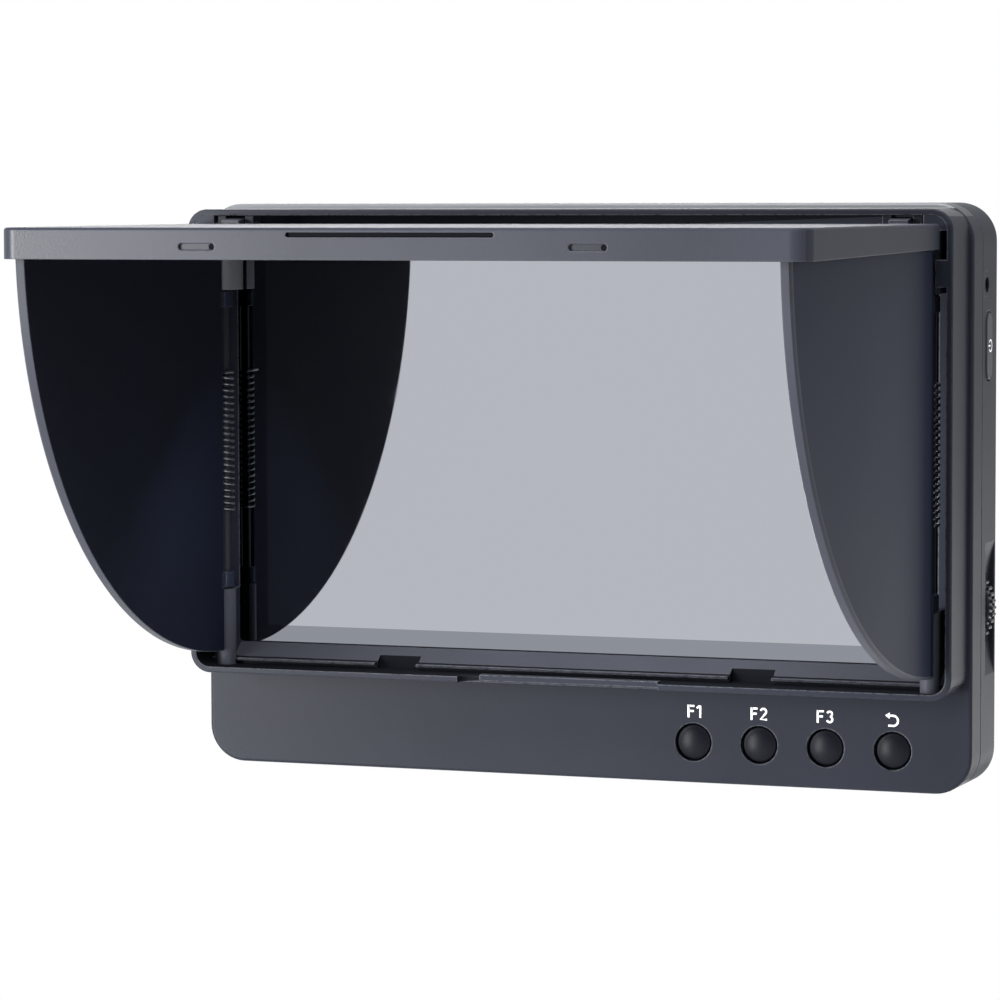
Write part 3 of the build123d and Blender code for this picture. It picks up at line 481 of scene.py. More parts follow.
@dataclass(frozen=True)
class SolderMask(Finish):
    """A circuit board: green mask with copper lines showing through."""

    copper: Colour = (0.05, 0.2, 0.06)
    spread: float = 0.15

    def dress(self, graph: Graph, shader: bpy.types.Node) -> None:
        """Wires the board into the shader.

        Args:
            graph: The material's graph.
            shader: Its Principled shader.
        """
        bricks = {"Vector": graph.spot(), "Scale": 90.0, "Mortar Size": 0.08}
        traces = graph.add("ShaderNodeTexBrick", bricks).outputs["Fac"]
        graph.feed(graph.blend(traces, rgba(self.colour), rgba(self.copper)), shader.inputs["Base Color"])
        rough = graph.math("MULTIPLY_ADD", traces, self.spread, self.roughness)
        graph.feed(rough, shader.inputs["Roughness"])
        bump = graph.add("ShaderNodeBump", {"Height": traces, "Distance": self.depth * MM})
        graph.feed(bump.outputs[0], shader.inputs["Normal"])


@dataclass(frozen=True)
class PaleFloor(Finish):
    """The studio's floor, which fades out towards its edge."""

    fade_from: float = 382.5
    fade_to: float = 850.0

    def dress(self, graph: Graph, shader: bpy.types.Node) -> None:
        """Wires the floor into the shader.

        Args:
            graph: The material's graph.
            shader: Its Principled shader.
        """
        spot = graph.spot()
        axes = graph.add("ShaderNodeSeparateXYZ", {0: spot}).outputs
        squares = graph.math("ADD", graph.math("POWER", axes["X"], 2.0), graph.math("POWER", axes["Y"], 2.0))
        away = graph.math("SQRT", squares)
        fade = graph.ramp(away, self.fade_from * MM, self.fade_to * MM, first=1.0, last=0.0)
        graph.feed(fade, shader.inputs["Alpha"])
        patches = graph.noise(spot, scale=30.0, detail=2.0)
        tone = graph.blend(patches, rgba(self.colour), rgba(self.worn))
        graph.feed(tone, shader.inputs["Base Color"])
        shader.inputs["Roughness"].default_value = self.roughness


class Finishes:
    """Every finish of the monitor, by what it is used for."""

    # The case's and shell's outer edges pale strongly: a painted highlight along the rims, partly rubbed by
    # use
    casing = Finish(
        "bezel_plastic", "case_plastic", (0.0085, 0.0098, 0.0145), 0.34,
        specular=0.07, edge=0.5, worn=(0.1, 0.105, 0.12), wear_and_highlight=0.7,
    )
    shell = Finish(
        "shell_plastic", "case_plastic", (0.0095, 0.0108, 0.015), 0.5,
        specular=0.055, edge=0.5, worn=(0.08, 0.085, 0.1), wear_and_highlight=0.6,
    )
    hood = Finish("hood_plastic", "hood_plastic", (0.014, 0.0155, 0.022), 0.34, specular=0.2, edge=0.4)
    flock = Finish(
        "panel_matte_black", "panel_plastic", (0.0025, 0.0035, 0.0075), 0.85,
        specular=0.08, dust=0.02, wear_and_highlight=0.1, grain=1800.0, edge=0.05,
    )
    satin = Finish("panel_satin", "panel_plastic", (0.0065, 0.0085, 0.016), 0.6, specular=0.07, dust=0.04)
    # Paler than the panels' faces: a painted highlight on their edges
    rim = Finish("panel_rim_painted_highlight", "panel_plastic", (0.022, 0.024, 0.032), 0.45, specular=0.12, dust=0.04)
    # Near-black: painted shade in the hollows, gaps and holes that lie in shadow
    painted_shade = Finish(
        "painted_shade_plastic", "case_plastic", (0.003, 0.0035, 0.005), 0.75, specular=0.04, dust=0.0, wear_and_highlight=0.1
    )
    # Paler than the case: painted light on the slope below the glass and on the hinge posts
    ledge_painted_light = Finish(
        "ledge_painted_light_plastic", "case_plastic", (0.024, 0.026, 0.033), 0.5, specular=0.08, edge=0.2, wear_and_highlight=0.1
    )
    # Pale: a painted highlight on the case's brow, and painted light on the left post web
    crown = Finish("brow_painted_highlight_plastic", "case_plastic", (0.075, 0.078, 0.086), 0.4, specular=0.3, edge=0.5)
    skirt = Finish("skirt_plastic", "hood_plastic", (0.014, 0.0155, 0.022), 0.5, specular=0.05, edge=0.3)
    rubber = Finish("key_rubber", "button_rubber", (0.003, 0.0035, 0.0055), 0.38, specular=0.07, dust=0.02)
    control = Finish(
        "control_plastic", "control_plastic", (0.011, 0.012, 0.017), 0.42, specular=0.1, edge=0.2
    )
    jack = Finish("jack_plastic", "jack_plastic", (0.006, 0.0065, 0.008), 0.5, specular=0.06)
    chip = Finish("chip_plastic", "chip_plastic", (0.012, 0.012, 0.013), 0.5)
    foam = Finish("gasket_foam", "foam", (0.008, 0.008, 0.008), 0.95, specular=0.1, depth=0.05)
    cell = Finish("display_cell", "lcd", (0.015, 0.016, 0.02), 0.2)
    film = Finish("diffusing_film", "white_film", (0.75, 0.75, 0.73), 0.7, worn=(0.6, 0.6, 0.6))
    ink = Finish("white_print", "case_plastic", (0.86, 0.87, 0.88), 0.5, drift=0.03, wear_and_highlight=0.0, dust=0.0)
    glass = ScreenMirror("display_glass", "screen_glass", (0.46, 0.475, 0.52), 0.015)
    board = SolderMask("circuit_board", "circuit_board", (0.01, 0.07, 0.03), 0.3)
    tray = Metal("folded_tray", "tray_steel", (0.5, 0.51, 0.53), 0.35, worn=(0.7, 0.7, 0.7))
    fins = Metal("fin_aluminium", "fin_aluminium", (0.72, 0.73, 0.75), 0.35, worn=(0.9, 0.9, 0.9))
    rod = Finish("oxide_rod", "rod_steel", (0.008, 0.009, 0.012), 0.55, specular=0.12, depth=0.004)
    wire = Metal("spring_wire", "spring_steel", (0.14, 0.145, 0.16), 0.35, stretch=(600.0, 600.0, 600.0))
    screw = Metal("black_screw", "screw_steel", (0.06, 0.06, 0.065), 0.35, worn=(0.4, 0.4, 0.42), wear_and_highlight=0.6)
    socket = Metal("tinned_socket", "socket_metal", (0.58, 0.58, 0.6), 0.25, worn=(0.8, 0.8, 0.8))
    brass = Metal("turned_brass", "brass", (0.66, 0.48, 0.2), 0.3, worn=(0.85, 0.7, 0.4))
    gold = Metal("gold_contact", "contact_gold", (0.83, 0.6, 0.22), 0.22, worn=(0.9, 0.75, 0.4))
    # The floor is no part of the monitor, so it fills no slot
    floor = PaleFloor("studio_floor", "", (0.86, 0.86, 0.86), 0.8, worn=(0.9, 0.9, 0.9))


# Meshes


def link(name: str, data: bpy.types.ID) -> bpy.types.Object:
    """Puts a mesh or curve in the scene as an object.

    Args:
        name: The object's name.
        data: Its mesh or curve.

    Returns:
        The new object.
    """
    made = bpy.data.objects.new(name, data)
    bpy.context.scene.collection.objects.link(made)
    return made


def frozen(made: bpy.types.Object) -> bpy.types.Object:
    """Turns what an object's modifiers make into its plain mesh.

    Args:
        made: The object with live modifiers.

    Returns:
        The same object with a plain mesh and no modifiers.
    """
    depsgraph = bpy.context.evaluated_depsgraph_get()
    mesh = bpy.data.meshes.new_from_object(made.evaluated_get(depsgraph), depsgraph=depsgraph)
    made.modifiers.clear()
    made.data = mesh
    return made


def piece(name: str, shape: bmesh.types.BMesh, finish: Finish, angle: float = 35.0) -> bpy.types.Object:
    """Makes an object of a mesh that was drawn in millimetres.

    Args:
        name: The object's name.
        shape: The mesh, which is used up.
        finish: Its finish.
        angle: Edges sharper than this stay sharp, in degrees.

    Returns:
        The new object.
    """
    bmesh.ops.remove_doubles(shape, verts=shape.verts, dist=0.0005)
    bmesh.ops.recalc_face_normals(shape, faces=shape.faces)
    shape.transform(Matrix.Scale(MM, 4))
    mesh = bpy.data.meshes.new(name)
    shape.to_mesh(mesh)
    shape.free()
    mesh.shade_smooth()
    mesh.set_sharp_from_angle(angle=radians(angle))
    mesh.materials.append(finish.material())
    return link(name, mesh)


def copied(node: str) -> bmesh.types.BMesh:
    """Copies a solid's mesh, with its loose triangles merged.

    Args:
        node: The solid's node.

    Returns:
        The copy, in metres.
    """
    shape = bmesh.new()
    shape.from_mesh(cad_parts[node].data)
    bmesh.ops.remove_doubles(shape, verts=shape.verts, dist=2e-6)
    return shape


def softened(node: str, finish: Finish, width: float, segments: int = 2) -> bpy.types.Object:
    """Copies a solid's mesh and rounds its sharp edges.

    Args:
        node: The solid's node.
        finish: The copy's finish.
        width: How far in the rounding starts, in millimetres.
        segments: How many faces each rounding has.

    Returns:
        The rounded copy.
    """
    shape = copied(node)
    bmesh.ops.dissolve_limit(shape, angle_limit=radians(0.6), verts=shape.verts, edges=shape.edges)
    mesh = bpy.data.meshes.new(f"{node}_soft")
    shape.to_mesh(mesh)
    shape.free()
    mesh.shade_smooth()
    made = link(f"{node}_soft", mesh)
    mesh.materials.append(finish.material())
    bevel = made.modifiers.new("round", "BEVEL")
    bevel.width = width * MM
    bevel.segments = segments
    bevel.limit_method = "ANGLE"
    bevel.angle_limit = radians(40)
    bevel.use_clamp_overlap = True
    weighted = made.modifiers.new("shade", "WEIGHTED_NORMAL")
    weighted.weight = 100
    return frozen(made)


def rounded(node: str, body: str, finish: Finish, width: float, segments: int = 2) -> None:
    """Puts a rounded copy in the place of a solid.

    Args:
        node: The solid's node.
        body: The body it rides on.
        finish: The finish it wears.
        width: How far in the rounding starts, in millimetres.
        segments: How many faces each rounding has.
    """
    settle(softened(node, finish, width, segments), body, finish, node)


def lathe(shape: bmesh.types.BMesh, profile: Sequence[Flat], steps: int = 64) -> None:
    """Turns a profile about the Z axis.

    Args:
        shape: The mesh that gets the faces.
        profile: Radius and height pairs, from one end of the turning to the other.
        steps: How many steps go round.
    """
    rings = []
    for radius, height in profile:
        count = 1 if radius == 0 else steps
        turns = [2 * pi * n / steps for n in range(count)]
        rings.append([shape.verts.new((radius * cos(a), radius * sin(a), height)) for a in turns])
    for low, high in zip(rings, rings[1:]):
        for n in range(steps):
            around = ((low, n), (low, n + 1), (high, n + 1), (high, n))
            corners = [ring[at % len(ring)] for ring, at in around]
            shape.faces.new(list(dict.fromkeys(corners)))


def prism(shape: bmesh.types.BMesh, outline: Sequence[Flat], low: float, high: float) -> None:
    """Extrudes an outline along the Z axis, closed at both ends.

    Args:
        shape: The mesh that gets the faces.
        outline: The corners, in order.
        low: Where it starts.
        high: Where it ends.
    """
    ends = [[shape.verts.new((x, y, z)) for x, y in outline] for z in (low, high)]
    shape.faces.new(ends[0])
    shape.faces.new(ends[1])
    for n in range(len(outline)):
        after = (n + 1) % len(outline)
        shape.faces.new((ends[0][n], ends[0][after], ends[1][after], ends[1][n]))


def arc(centre: Flat, radius: float, start: float, end: float, steps: int) -> list[Flat]:
    """Points along an arc.

    Args:
        centre: Its centre.
        radius: Its radius.
        start: Its first angle, in degrees.
        end: Its last angle, in degrees.
        steps: How many steps it has.

    Returns:
        The points, ends included.
    """
    turns = [radians(start + (end - start) * n / steps) for n in range(steps + 1)]
    return [(centre[0] + radius * cos(a), centre[1] + radius * sin(a)) for a in turns]


FACING_FRONT = Matrix.Rotation(radians(90), 4, "X")
FACING_RIGHT = Matrix.Rotation(radians(90), 4, "Z") @ FACING_FRONT


def settle(made: bpy.types.Object, body: str, finish: Finish, *nodes: str) -> bpy.types.Object:
    """Hands a finished piece to its body and hides the solids it stands for.

    Args:
        made: The piece.
        body: The body it rides on.
        finish: Not used.
        *nodes: The solids it stands for, if any.

    Returns:
        The same piece.
    """
    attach(made, body)
    if nodes:
        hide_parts(*nodes)
    log.info("%s on %s: %d faces", made.name, body, len(made.data.polygons))
    return made


def dress(finish: Finish, *nodes: str) -> None:
    """Gives solids that keep their own mesh a finish.

    Args:
        finish: The finish.
        *nodes: The solids' nodes.
    """
    for node in nodes:
        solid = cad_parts[node]
        solid.data.materials.clear()
        solid.data.materials.append(finish.material())
        log.info("%s keeps its solid and wears %s", node, finish.name)


@dataclass(frozen=True)
class Patch:
    """Faces of a shell that take their own finish: the ones in a box that point one way.

    The box is in millimetres. A face points the patch's way where its normal goes further than `least` along
    `facing`. A mirrored patch counts X outwards from the middle, so it lies on both sides.
    """

    finish: Finish
    x: Flat = (-100.0, 100.0)
    y: Flat = (-140.0, 20.0)
    z: Flat = (-10.0, 140.0)
    facing: Point = (0.0, 0.0, 0.0)
    least: float = -1.0
    mirrored: bool = True
    whole: bool = False

    def holds(self, face: bpy.types.MeshPolygon, corners: Sequence[Vector]) -> bool:
        """Whether a face belongs to the patch.

        Args:
            face: The face.
            corners: Its corners, in metres.

        Returns:
            True where it points the patch's way, with its middle in the box, or a whole patch's every corner.
        """
        side = -1.0 if self.mirrored and face.center.x < 0 else 1.0
        way = Vector((side * face.normal.x, face.normal.y, face.normal.z))
        if way.dot(Vector(self.facing)) <= self.least:
            return False
        for spot in corners if self.whole else [face.center]:
            place = (side * spot.x / MM, spot.y / MM, spot.z / MM)
            if not all(low < at < high for at, (low, high) in zip(place, (self.x, self.y, self.z))):
                return False
        return True


def paint(mesh: bpy.types.Mesh, base: Finish, patches: Sequence[Patch]) -> None:
    """Gives a mesh one finish and its patches another, and the later patch holds where two meet.

    Args:
        mesh: The mesh.
        base: The finish of the other faces.
        patches: The patches, in order.
    """
    finishes = list(dict.fromkeys([base, *(patch.finish for patch in patches)]))
    mesh.materials.clear()
    for finish in finishes:
        mesh.materials.append(finish.material())
    for face in mesh.polygons:
        corners = [mesh.vertices[n].co for n in face.vertices]
        worn = [patch.finish for patch in patches if patch.holds(face, corners)]
        face.material_index = finishes.index(worn[-1]) if worn else 0


# Repeated pieces, made by geometry nodes


class Pattern:
    """A geometry node tree that makes a repeated or wound piece from named sizes."""

    name: str = ""
    takes: tuple[tuple[str, str], ...] = ()

    def __init__(self, finish: Finish) -> None:
        """Takes the finish that the tree sets.

        Args:
            finish: The finish of the whole piece.
        """
        self.finish = finish

    def tree(self) -> bpy.types.NodeTree:
        """Finds or builds the tree.

        Returns:
            The geometry node tree.
        """
        title = f"{self.name}_{self.finish.name}"
        found = bpy.data.node_groups.get(title)
        if found:
            return found
        tree = bpy.data.node_groups.new(title, "GeometryNodeTree")
        tree.interface.new_socket("Geometry", in_out="INPUT", socket_type="NodeSocketGeometry")
        for name, kind in self.takes:
            tree.interface.new_socket(name, in_out="INPUT", socket_type=f"NodeSocket{kind}")
        tree.interface.new_socket("Geometry", in_out="OUTPUT", socket_type="NodeSocketGeometry")
        graph = Graph(tree)
        made = self.wire(graph, graph.add("NodeGroupInput").outputs)
        smooth = graph.add("GeometryNodeSetShadeSmooth", {"Geometry": made})
        real = graph.add("GeometryNodeRealizeInstances", {0: smooth.outputs[0]})
        painted = graph.add("GeometryNodeSetMaterial", {"Geometry": real.outputs[0]})
        painted.inputs["Material"].default_value = self.finish.material()
        graph.feed(painted.outputs[0], graph.add("NodeGroupOutput").inputs[0])
        return tree

    def wire(self, graph: Graph, taken: Outputs) -> Socket:
        """Wires the tree's inside.

        Args:
            graph: The tree's graph.
            taken: The tree's inputs.

        Returns:
            The geometry before its material.
        """
        raise NotImplementedError

    def make(self, name: str, spots: Iterable[Point], sizes: dict[str, object]) -> bpy.types.Object:
        """Runs the tree once and keeps the result as a plain mesh.

        Args:
            name: The object's name.
            spots: Points that the tree may put copies on, in millimetres.
            sizes: The tree's named inputs.

        Returns:
            The finished object, in metres.
        """
        mesh = bpy.data.meshes.new(name)
        mesh.from_pydata([tuple(c * MM for c in spot) for spot in spots], [], [])
        made = link(name, mesh)
        modifier = made.modifiers.new(self.name, "NODES")
        modifier.node_group = self.tree()
        for item in modifier.node_group.interface.items_tree:
            if item.in_out == "INPUT" and item.name in sizes:
                modifier[item.identifier] = sizes[item.name]
        frozen(made)
        made.data.set_sharp_from_angle(angle=radians(35))
        return made


class CoilSpring(Pattern):
    """A wire coil about Z with a straight leg at each end."""

    name = "coil_spring"
    takes = (
        ("Turns", "Float"),
        ("Coil Radius", "Float"),
        ("Wire Radius", "Float"),
        ("Length", "Float"),
        ("Centre", "Vector"),
        ("Upper Leg", "Vector"),
        ("Lower Leg", "Vector"),
    )

    def leg(self, graph: Graph, start: Socket, reach: Socket) -> Socket:
        """A straight run of the wire.

        Args:
            graph: The tree's graph.
            start: Where it starts.
            reach: How far it runs.

        Returns:
            Its curve.
        """
        end = graph.add("ShaderNodeVectorMath", {0: start, 1: reach}, operation="ADD")
        return graph.add("GeometryNodeCurvePrimitiveLine", {"Start": start, "End": end.outputs[0]}).outputs[0]

    def wire(self, graph: Graph, taken: Outputs) -> Socket:
        """Winds the coil and adds its legs.

        Args:
            graph: The tree's graph.
            taken: The tree's inputs.

        Returns:
            The spring's mesh.
        """
        coil = graph.add(
            "GeometryNodeCurveSpiral",
            {
                "Resolution": 20,
                "Rotations": taken["Turns"],
                "Start Radius": taken["Coil Radius"],
                "End Radius": taken["Coil Radius"],
                "Height": taken["Length"],
            },
        )
        side = graph.add("ShaderNodeCombineXYZ", {"X": taken["Coil Radius"]}).outputs[0]
        top = graph.add("ShaderNodeCombineXYZ", {"X": taken["Coil Radius"], "Z": taken["Length"]}).outputs[0]
        joined = graph.add("GeometryNodeJoinGeometry")
        legs = (self.leg(graph, side, taken["Lower Leg"]), self.leg(graph, top, taken["Upper Leg"]))
        for curve in (coil.outputs[0], *legs):
            graph.feed(curve, joined.inputs[0])
        ring = {"Resolution": 8, "Radius": taken["Wire Radius"]}
        section = graph.add("GeometryNodeCurvePrimitiveCircle", ring).outputs[0]
        sweep = {"Curve": joined.outputs[0], "Profile Curve": section, "Fill Caps": True}
        return graph.moved(graph.add("GeometryNodeCurveToMesh", sweep).outputs[0], taken["Centre"])


class CrossScrews(Pattern):
    """Pan-head screws with a cross recess, one on each point, facing the rear."""

    name = "cross_screws"
    takes = (
        ("Head Radius", "Float"),
        ("Head Height", "Float"),
        ("Shank Radius", "Float"),
        ("Shank Length", "Float"),
        ("Slot Width", "Float"),
    )
    head_taper: float = 0.8
    slot_reach: float = 1.25
    slot_lift: float = 0.85

    def wire(self, graph: Graph, taken: Outputs) -> Socket:
        """Cuts the cross in a head, adds a shank and puts a copy on each point.

        Args:
            graph: The tree's graph.
            taken: The tree's inputs.

        Returns:
            The screws.
        """
        radius, height, slot = taken["Head Radius"], taken["Head Height"], taken["Slot Width"]
        cone = {"Vertices": 32, "Depth": height, "Radius Bottom": radius}
        head = graph.add("GeometryNodeMeshCone", cone)
        graph.feed(graph.math("MULTIPLY", radius, self.head_taper), head.inputs["Radius Top"])
        across = graph.math("MULTIPLY", radius, self.slot_reach)
        lift = graph.add("ShaderNodeCombineXYZ", {"Z": graph.math("MULTIPLY", height, self.slot_lift)})
        recess = graph.add("GeometryNodeMeshBoolean", operation="DIFFERENCE", solver="EXACT")
        graph.feed(head.outputs[0], recess.inputs["Mesh 1"])
        for width, depth in ((across, slot), (slot, across)):
            box = graph.add("ShaderNodeCombineXYZ", {"X": width, "Y": depth, "Z": height}).outputs[0]
            cube = graph.add("GeometryNodeMeshCube", {"Size": box}).outputs[0]
            graph.feed(graph.moved(cube, lift.outputs[0]), recess.inputs["Mesh 2"])
        length = taken["Shank Length"]
        rod = {"Vertices": 16, "Radius": taken["Shank Radius"], "Depth": length}
        shank = graph.add("GeometryNodeMeshCylinder", rod).outputs[0]
        drop = graph.add("ShaderNodeCombineXYZ", {"Z": graph.math("MULTIPLY", length, -0.5)}).outputs[0]
        whole = graph.add("GeometryNodeJoinGeometry")
        for part in (recess.outputs[0], graph.moved(shank, drop)):
            graph.feed(part, whole.inputs[0])
        return graph.copies(taken["Geometry"], graph.moved(whole.outputs[0], turn=-90))


class RibRing(Pattern):
    """Round ribs set in a ring about the Y axis, as on a thumb wheel."""

    name = "rib_ring"
    takes = (
        ("Ribs", "Int"),
        ("Ring Radius", "Float"),
        ("Rib Radius", "Float"),
        ("Rib Length", "Float"),
        ("Centre", "Vector"),
    )

    def wire(self, graph: Graph, taken: Outputs) -> Socket:
        """Sets a rib on each corner of a circle and stands the ring up.

        Args:
            graph: The tree's graph.
            taken: The tree's inputs.

        Returns:
            The ribs.
        """
        ring = {"Vertices": taken["Ribs"], "Radius": taken["Ring Radius"]}
        rib = {"Vertices": 8, "Radius": taken["Rib Radius"], "Depth": taken["Rib Length"]}
        corners = graph.add("GeometryNodeMeshCircle", ring).outputs[0]
        ribs = graph.copies(corners, graph.add("GeometryNodeMeshCylinder", rib).outputs[0])
        return graph.moved(ribs, taken["Centre"], 90)


class Blocks(Pattern):
    """The same small block on each point, as in the ridges of a grip."""

    name = "blocks"
    takes = (("Size", "Vector"),)

    def wire(self, graph: Graph, taken: Outputs) -> Socket:
        """Puts a block on each point.

        Args:
            graph: The tree's graph.
            taken: The tree's inputs.

        Returns:
            The blocks.
        """
        cube = graph.add("GeometryNodeMeshCube", {"Size": taken["Size"]}).outputs[0]
        return graph.copies(taken["Geometry"], cube)


def screws(name: str, spots: Iterable[Point], head: Flat, shank: Flat, slot: float) -> bpy.types.Object:
    """Makes a set of equal screws.

    Args:
        name: The object's name.
        spots: Where their heads sit.
        head: The head's radius and height.
        shank: The shank's radius and length.
        slot: The width of the cross.

    Returns:
        The screws.
    """
    sizes = {
        "Head Radius": head[0] * MM,
        "Head Height": head[1] * MM,
        "Shank Radius": shank[0] * MM,
        "Shank Length": shank[1] * MM,
        "Slot Width": slot * MM,
    }
    return CrossScrews(Finishes.screw).make(name, spots, sizes)


# Sub-assemblies


class Side(Enum):
    """A side of the monitor, as the sign of its X."""

    LEFT = -1
    RIGHT = 1

    @property
    def word(self) -> str:
        """The side's name as pieces spell it."""
        return self.name.lower()


@dataclass
class CaseShells:
    """The front bezel with its collar, the rear shell and the screws that hold them together."""

    corner_x: float = 85.95
    corner_z: float = 6.3
    height: float = 131.0
    low_x: float = -20.0
    middle_z: float = 4.9
    seat_y: float = 1.3
    head: Flat = (2.4, 1.6)
    shank: Flat = (1.2, 15.3)
    slot: float = 0.55
    recess_end: float = 84.3
    recess_bend: float = 86.25
    recess_low: float = 125.0
    recess_round: float = 4.3
    end_front: float = -28.75
    end_rear: float = -27.6
    post_x: float = 85.1
    post_y: float = -21.4
    glass_y: float = -15.65
    web_half: float = 2.25
    web_low: float = 111.1
    web_top: float = 122.7
    patches: tuple[Patch, ...] = (
        # The case's sides, both ways, and a painted highlight on the brow along its top
        Patch(Finishes.shell, x=(90, 100), facing=(1, 0, 0), least=0.6),
        Patch(Finishes.shell, x=(90, 100), facing=(-1, 0, 0), least=0.6),
        Patch(Finishes.crown, x=(-88, 88), y=(-16, 20), z=(129.82, 140), facing=(0, -1, 0), least=0.3),
        # Painted light: the slope and nose below the glass, and the hinge posts, paler than the case
        Patch(
            Finishes.ledge_painted_light, x=(-89.1, 89.1), y=(-26.8, -15.2), z=(24.72, 28.6), facing=(0, 0, 1), least=0.3
        ),
        Patch(Finishes.ledge_painted_light, x=(82.4, 87.8), y=(-26.8, -18.7), z=(28.4, 122.6)),
        # Painted shade: the rear of the lid's recess, and the ceiling, walls and floor of the hollow before
        # the glass
        Patch(Finishes.painted_shade, x=(-89, 89), y=(-27, -14.5), z=(125, 128.9), facing=(0, -1, 0), least=0.7),
        Patch(Finishes.painted_shade, y=(-28.9, -15.4), z=(124, 140), facing=(0, 0, -1), least=0.5),
        Patch(Finishes.painted_shade, x=(87.79, 100), y=(-28.9, -15.4), facing=(-1, 0, 0), least=0.22),
        Patch(Finishes.painted_shade, y=(-28.9, -15.4), z=(23.3, 24.1), facing=(0, 0, 1), least=0.9),
        # Painted shade: the undercut and groove below the glass, the latch pockets and the gap beside the
        # finger tab
        Patch(Finishes.painted_shade, y=(-20.42, -19.82), z=(-10, 24.8)),
        Patch(Finishes.painted_shade, y=(-20.07, -19.1), z=(24.2, 25.13)),
        Patch(Finishes.painted_shade, x=(37.5, 47.9), y=(-21.5, -15.2), z=(22.8, 28), whole=True),
        Patch(
            Finishes.painted_shade, x=(-24.7, -19), y=(-28.9, -15.2), z=(-10, 24.5), mirrored=False, whole=True
        ),
    )

    def screw_spots(self) -> list[Point]:
        """Where the case screws' heads sit."""
        across = (-self.corner_x, self.corner_x)
        spots = [(x, self.seat_y, z) for x in across for z in (self.corner_z, self.height - self.corner_z)]
        middle = [(self.low_x, self.middle_z), (0.0, self.height - self.middle_z)]
        return [*spots, *((x, self.seat_y, z) for x, z in middle)]

    def build(self) -> None:
        """Builds the bezel with its fillings and the screws and dresses the rear shell."""
        self.bezel()
        self.recess_ends()
        self.post_web()
        dress(Finishes.shell, "rear_shell")
        made = screws("case_screw_set", self.screw_spots(), self.head, self.shank, self.slot)
        settle(made, "case", Finishes.screw, "case_screws")

    def bezel(self) -> None:
        """Copies the bezel, so that its slope below the glass, posts and inner faces can take their own
        finishes: painted light on the slope and posts, painted shade on the inner faces, and a painted
        highlight on the brow.
        """
        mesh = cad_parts["front_bezel"].data.copy()
        paint(mesh, Finishes.casing, self.patches)
        settle(link("bezel_shell", mesh), "case", Finishes.casing, "front_bezel")

    def recess_ends(self) -> None:
        """Closes both ends of the lid's recess, rounded as the collar is."""
        shape = bmesh.new()
        bend = arc((self.recess_bend, self.recess_low), self.recess_round, 90, 0, 10)
        corners = [(self.recess_end, self.recess_low), (self.recess_end, self.recess_low + self.recess_round)]
        for side in Side:
            outline = [(side.value * x, z) for x, z in (*corners, *bend)]
            prism(shape, outline, -self.end_rear, -self.end_front)
        shape.transform(FACING_FRONT)
        settle(piece("recess_ends", shape, Finishes.casing), "case", Finishes.casing)

    def post_web(self) -> None:
        """Carries the left upper hinge post back to the glass, paler than the case as painted light."""
        shape = bmesh.new()
        nose = arc((-self.post_x, self.post_y), self.web_half, 180, 360, 24)
        ends = [(way * self.web_half - self.post_x, self.glass_y) for way in (1, -1)]
        prism(shape, [*nose, *ends], self.web_low, self.web_top)
        settle(piece("left_post_web", shape, Finishes.crown), "case", Finishes.crown)


@dataclass
class Screen:
    """The glass and the display stack behind it."""

    def build(self) -> None:
        """Dresses the glass, the gasket and the stack."""
        dress(Finishes.glass, "screen_glass")
        dress(Finishes.foam, "glass_gasket")
        dress(Finishes.cell, "lcd_panel")
        dress(Finishes.film, "backlight")
        dress(Finishes.tray, "panel_tray")


@dataclass
class HoodLid:
    """The tray-shaped lid on its two pins."""

    edge: float = 0.3
    lowered: float = 0.7
    front_y: float = -128.3
    arms_y: float = -30.0
    underside_z: float = 126.3
    skin_low: float = 124.0
    skin_run: float = 1.2
    window_x: float = 42.7
    window_z: float = 122.55
    hole_offset: float = 3.3
    hole_radius: float = 0.8
    floor_front: float = -128.45
    floor_rear: float = -127.95
    patches: tuple[Patch, ...] = (
        # The sides, both ways, with what faces up, and then painted shade in the thumb groove
        Patch(Finishes.skirt, facing=(1, 0, 0), least=0.75),
        Patch(Finishes.skirt, facing=(-1, 0, 0), least=0.75),
        Patch(Finishes.skirt, facing=(0, 0, 1), least=0.3),
        Patch(Finishes.painted_shade, x=(-23, 23), y=(-129, -128.3), z=(125.1, 126.3)),
    )

    def build(self) -> None:
        """Rounds, dresses and lowers the lid, and puts painted shade in its latch holes."""
        made = softened("lid", Finishes.hood, self.edge)
        paint(made.data, Finishes.hood, self.patches)
        self.lower(made.data)
        settle(made, "lid", Finishes.hood, "lid")
        self.hole_floors()
        dress(Finishes.rod, "lid_hinge_pins")

    def lower(self, mesh: bpy.types.Mesh) -> None:
        """Lowers the lid's top and, growing upwards, its front skin, but not its underside or its arms.

        Args:
            mesh: The lid's mesh.
        """
        for spot in mesh.vertices:
            height = spot.co.z / MM
            share = float(height > self.underside_z)
            if spot.co.y < self.front_y * MM:
                share = min(1.0, max(0.0, (height - self.skin_low) / self.skin_run))
            if spot.co.y < self.arms_y * MM:
                spot.co.z -= self.lowered * share * MM

    def hole_floors(self) -> None:
        """Makes the dark floors of the two latch holes, painted shade where the holes lie in shadow."""
        shape = bmesh.new()
        for side in Side:
            centre = (side.value * self.window_x + self.hole_offset, self.window_z)
            prism(shape, arc(centre, self.hole_radius, 0, 345, 23), -self.floor_rear, -self.floor_front)
        shape.transform(FACING_FRONT)
        settle(piece("latch_hole_floors", shape, Finishes.painted_shade), "lid", Finishes.painted_shade)


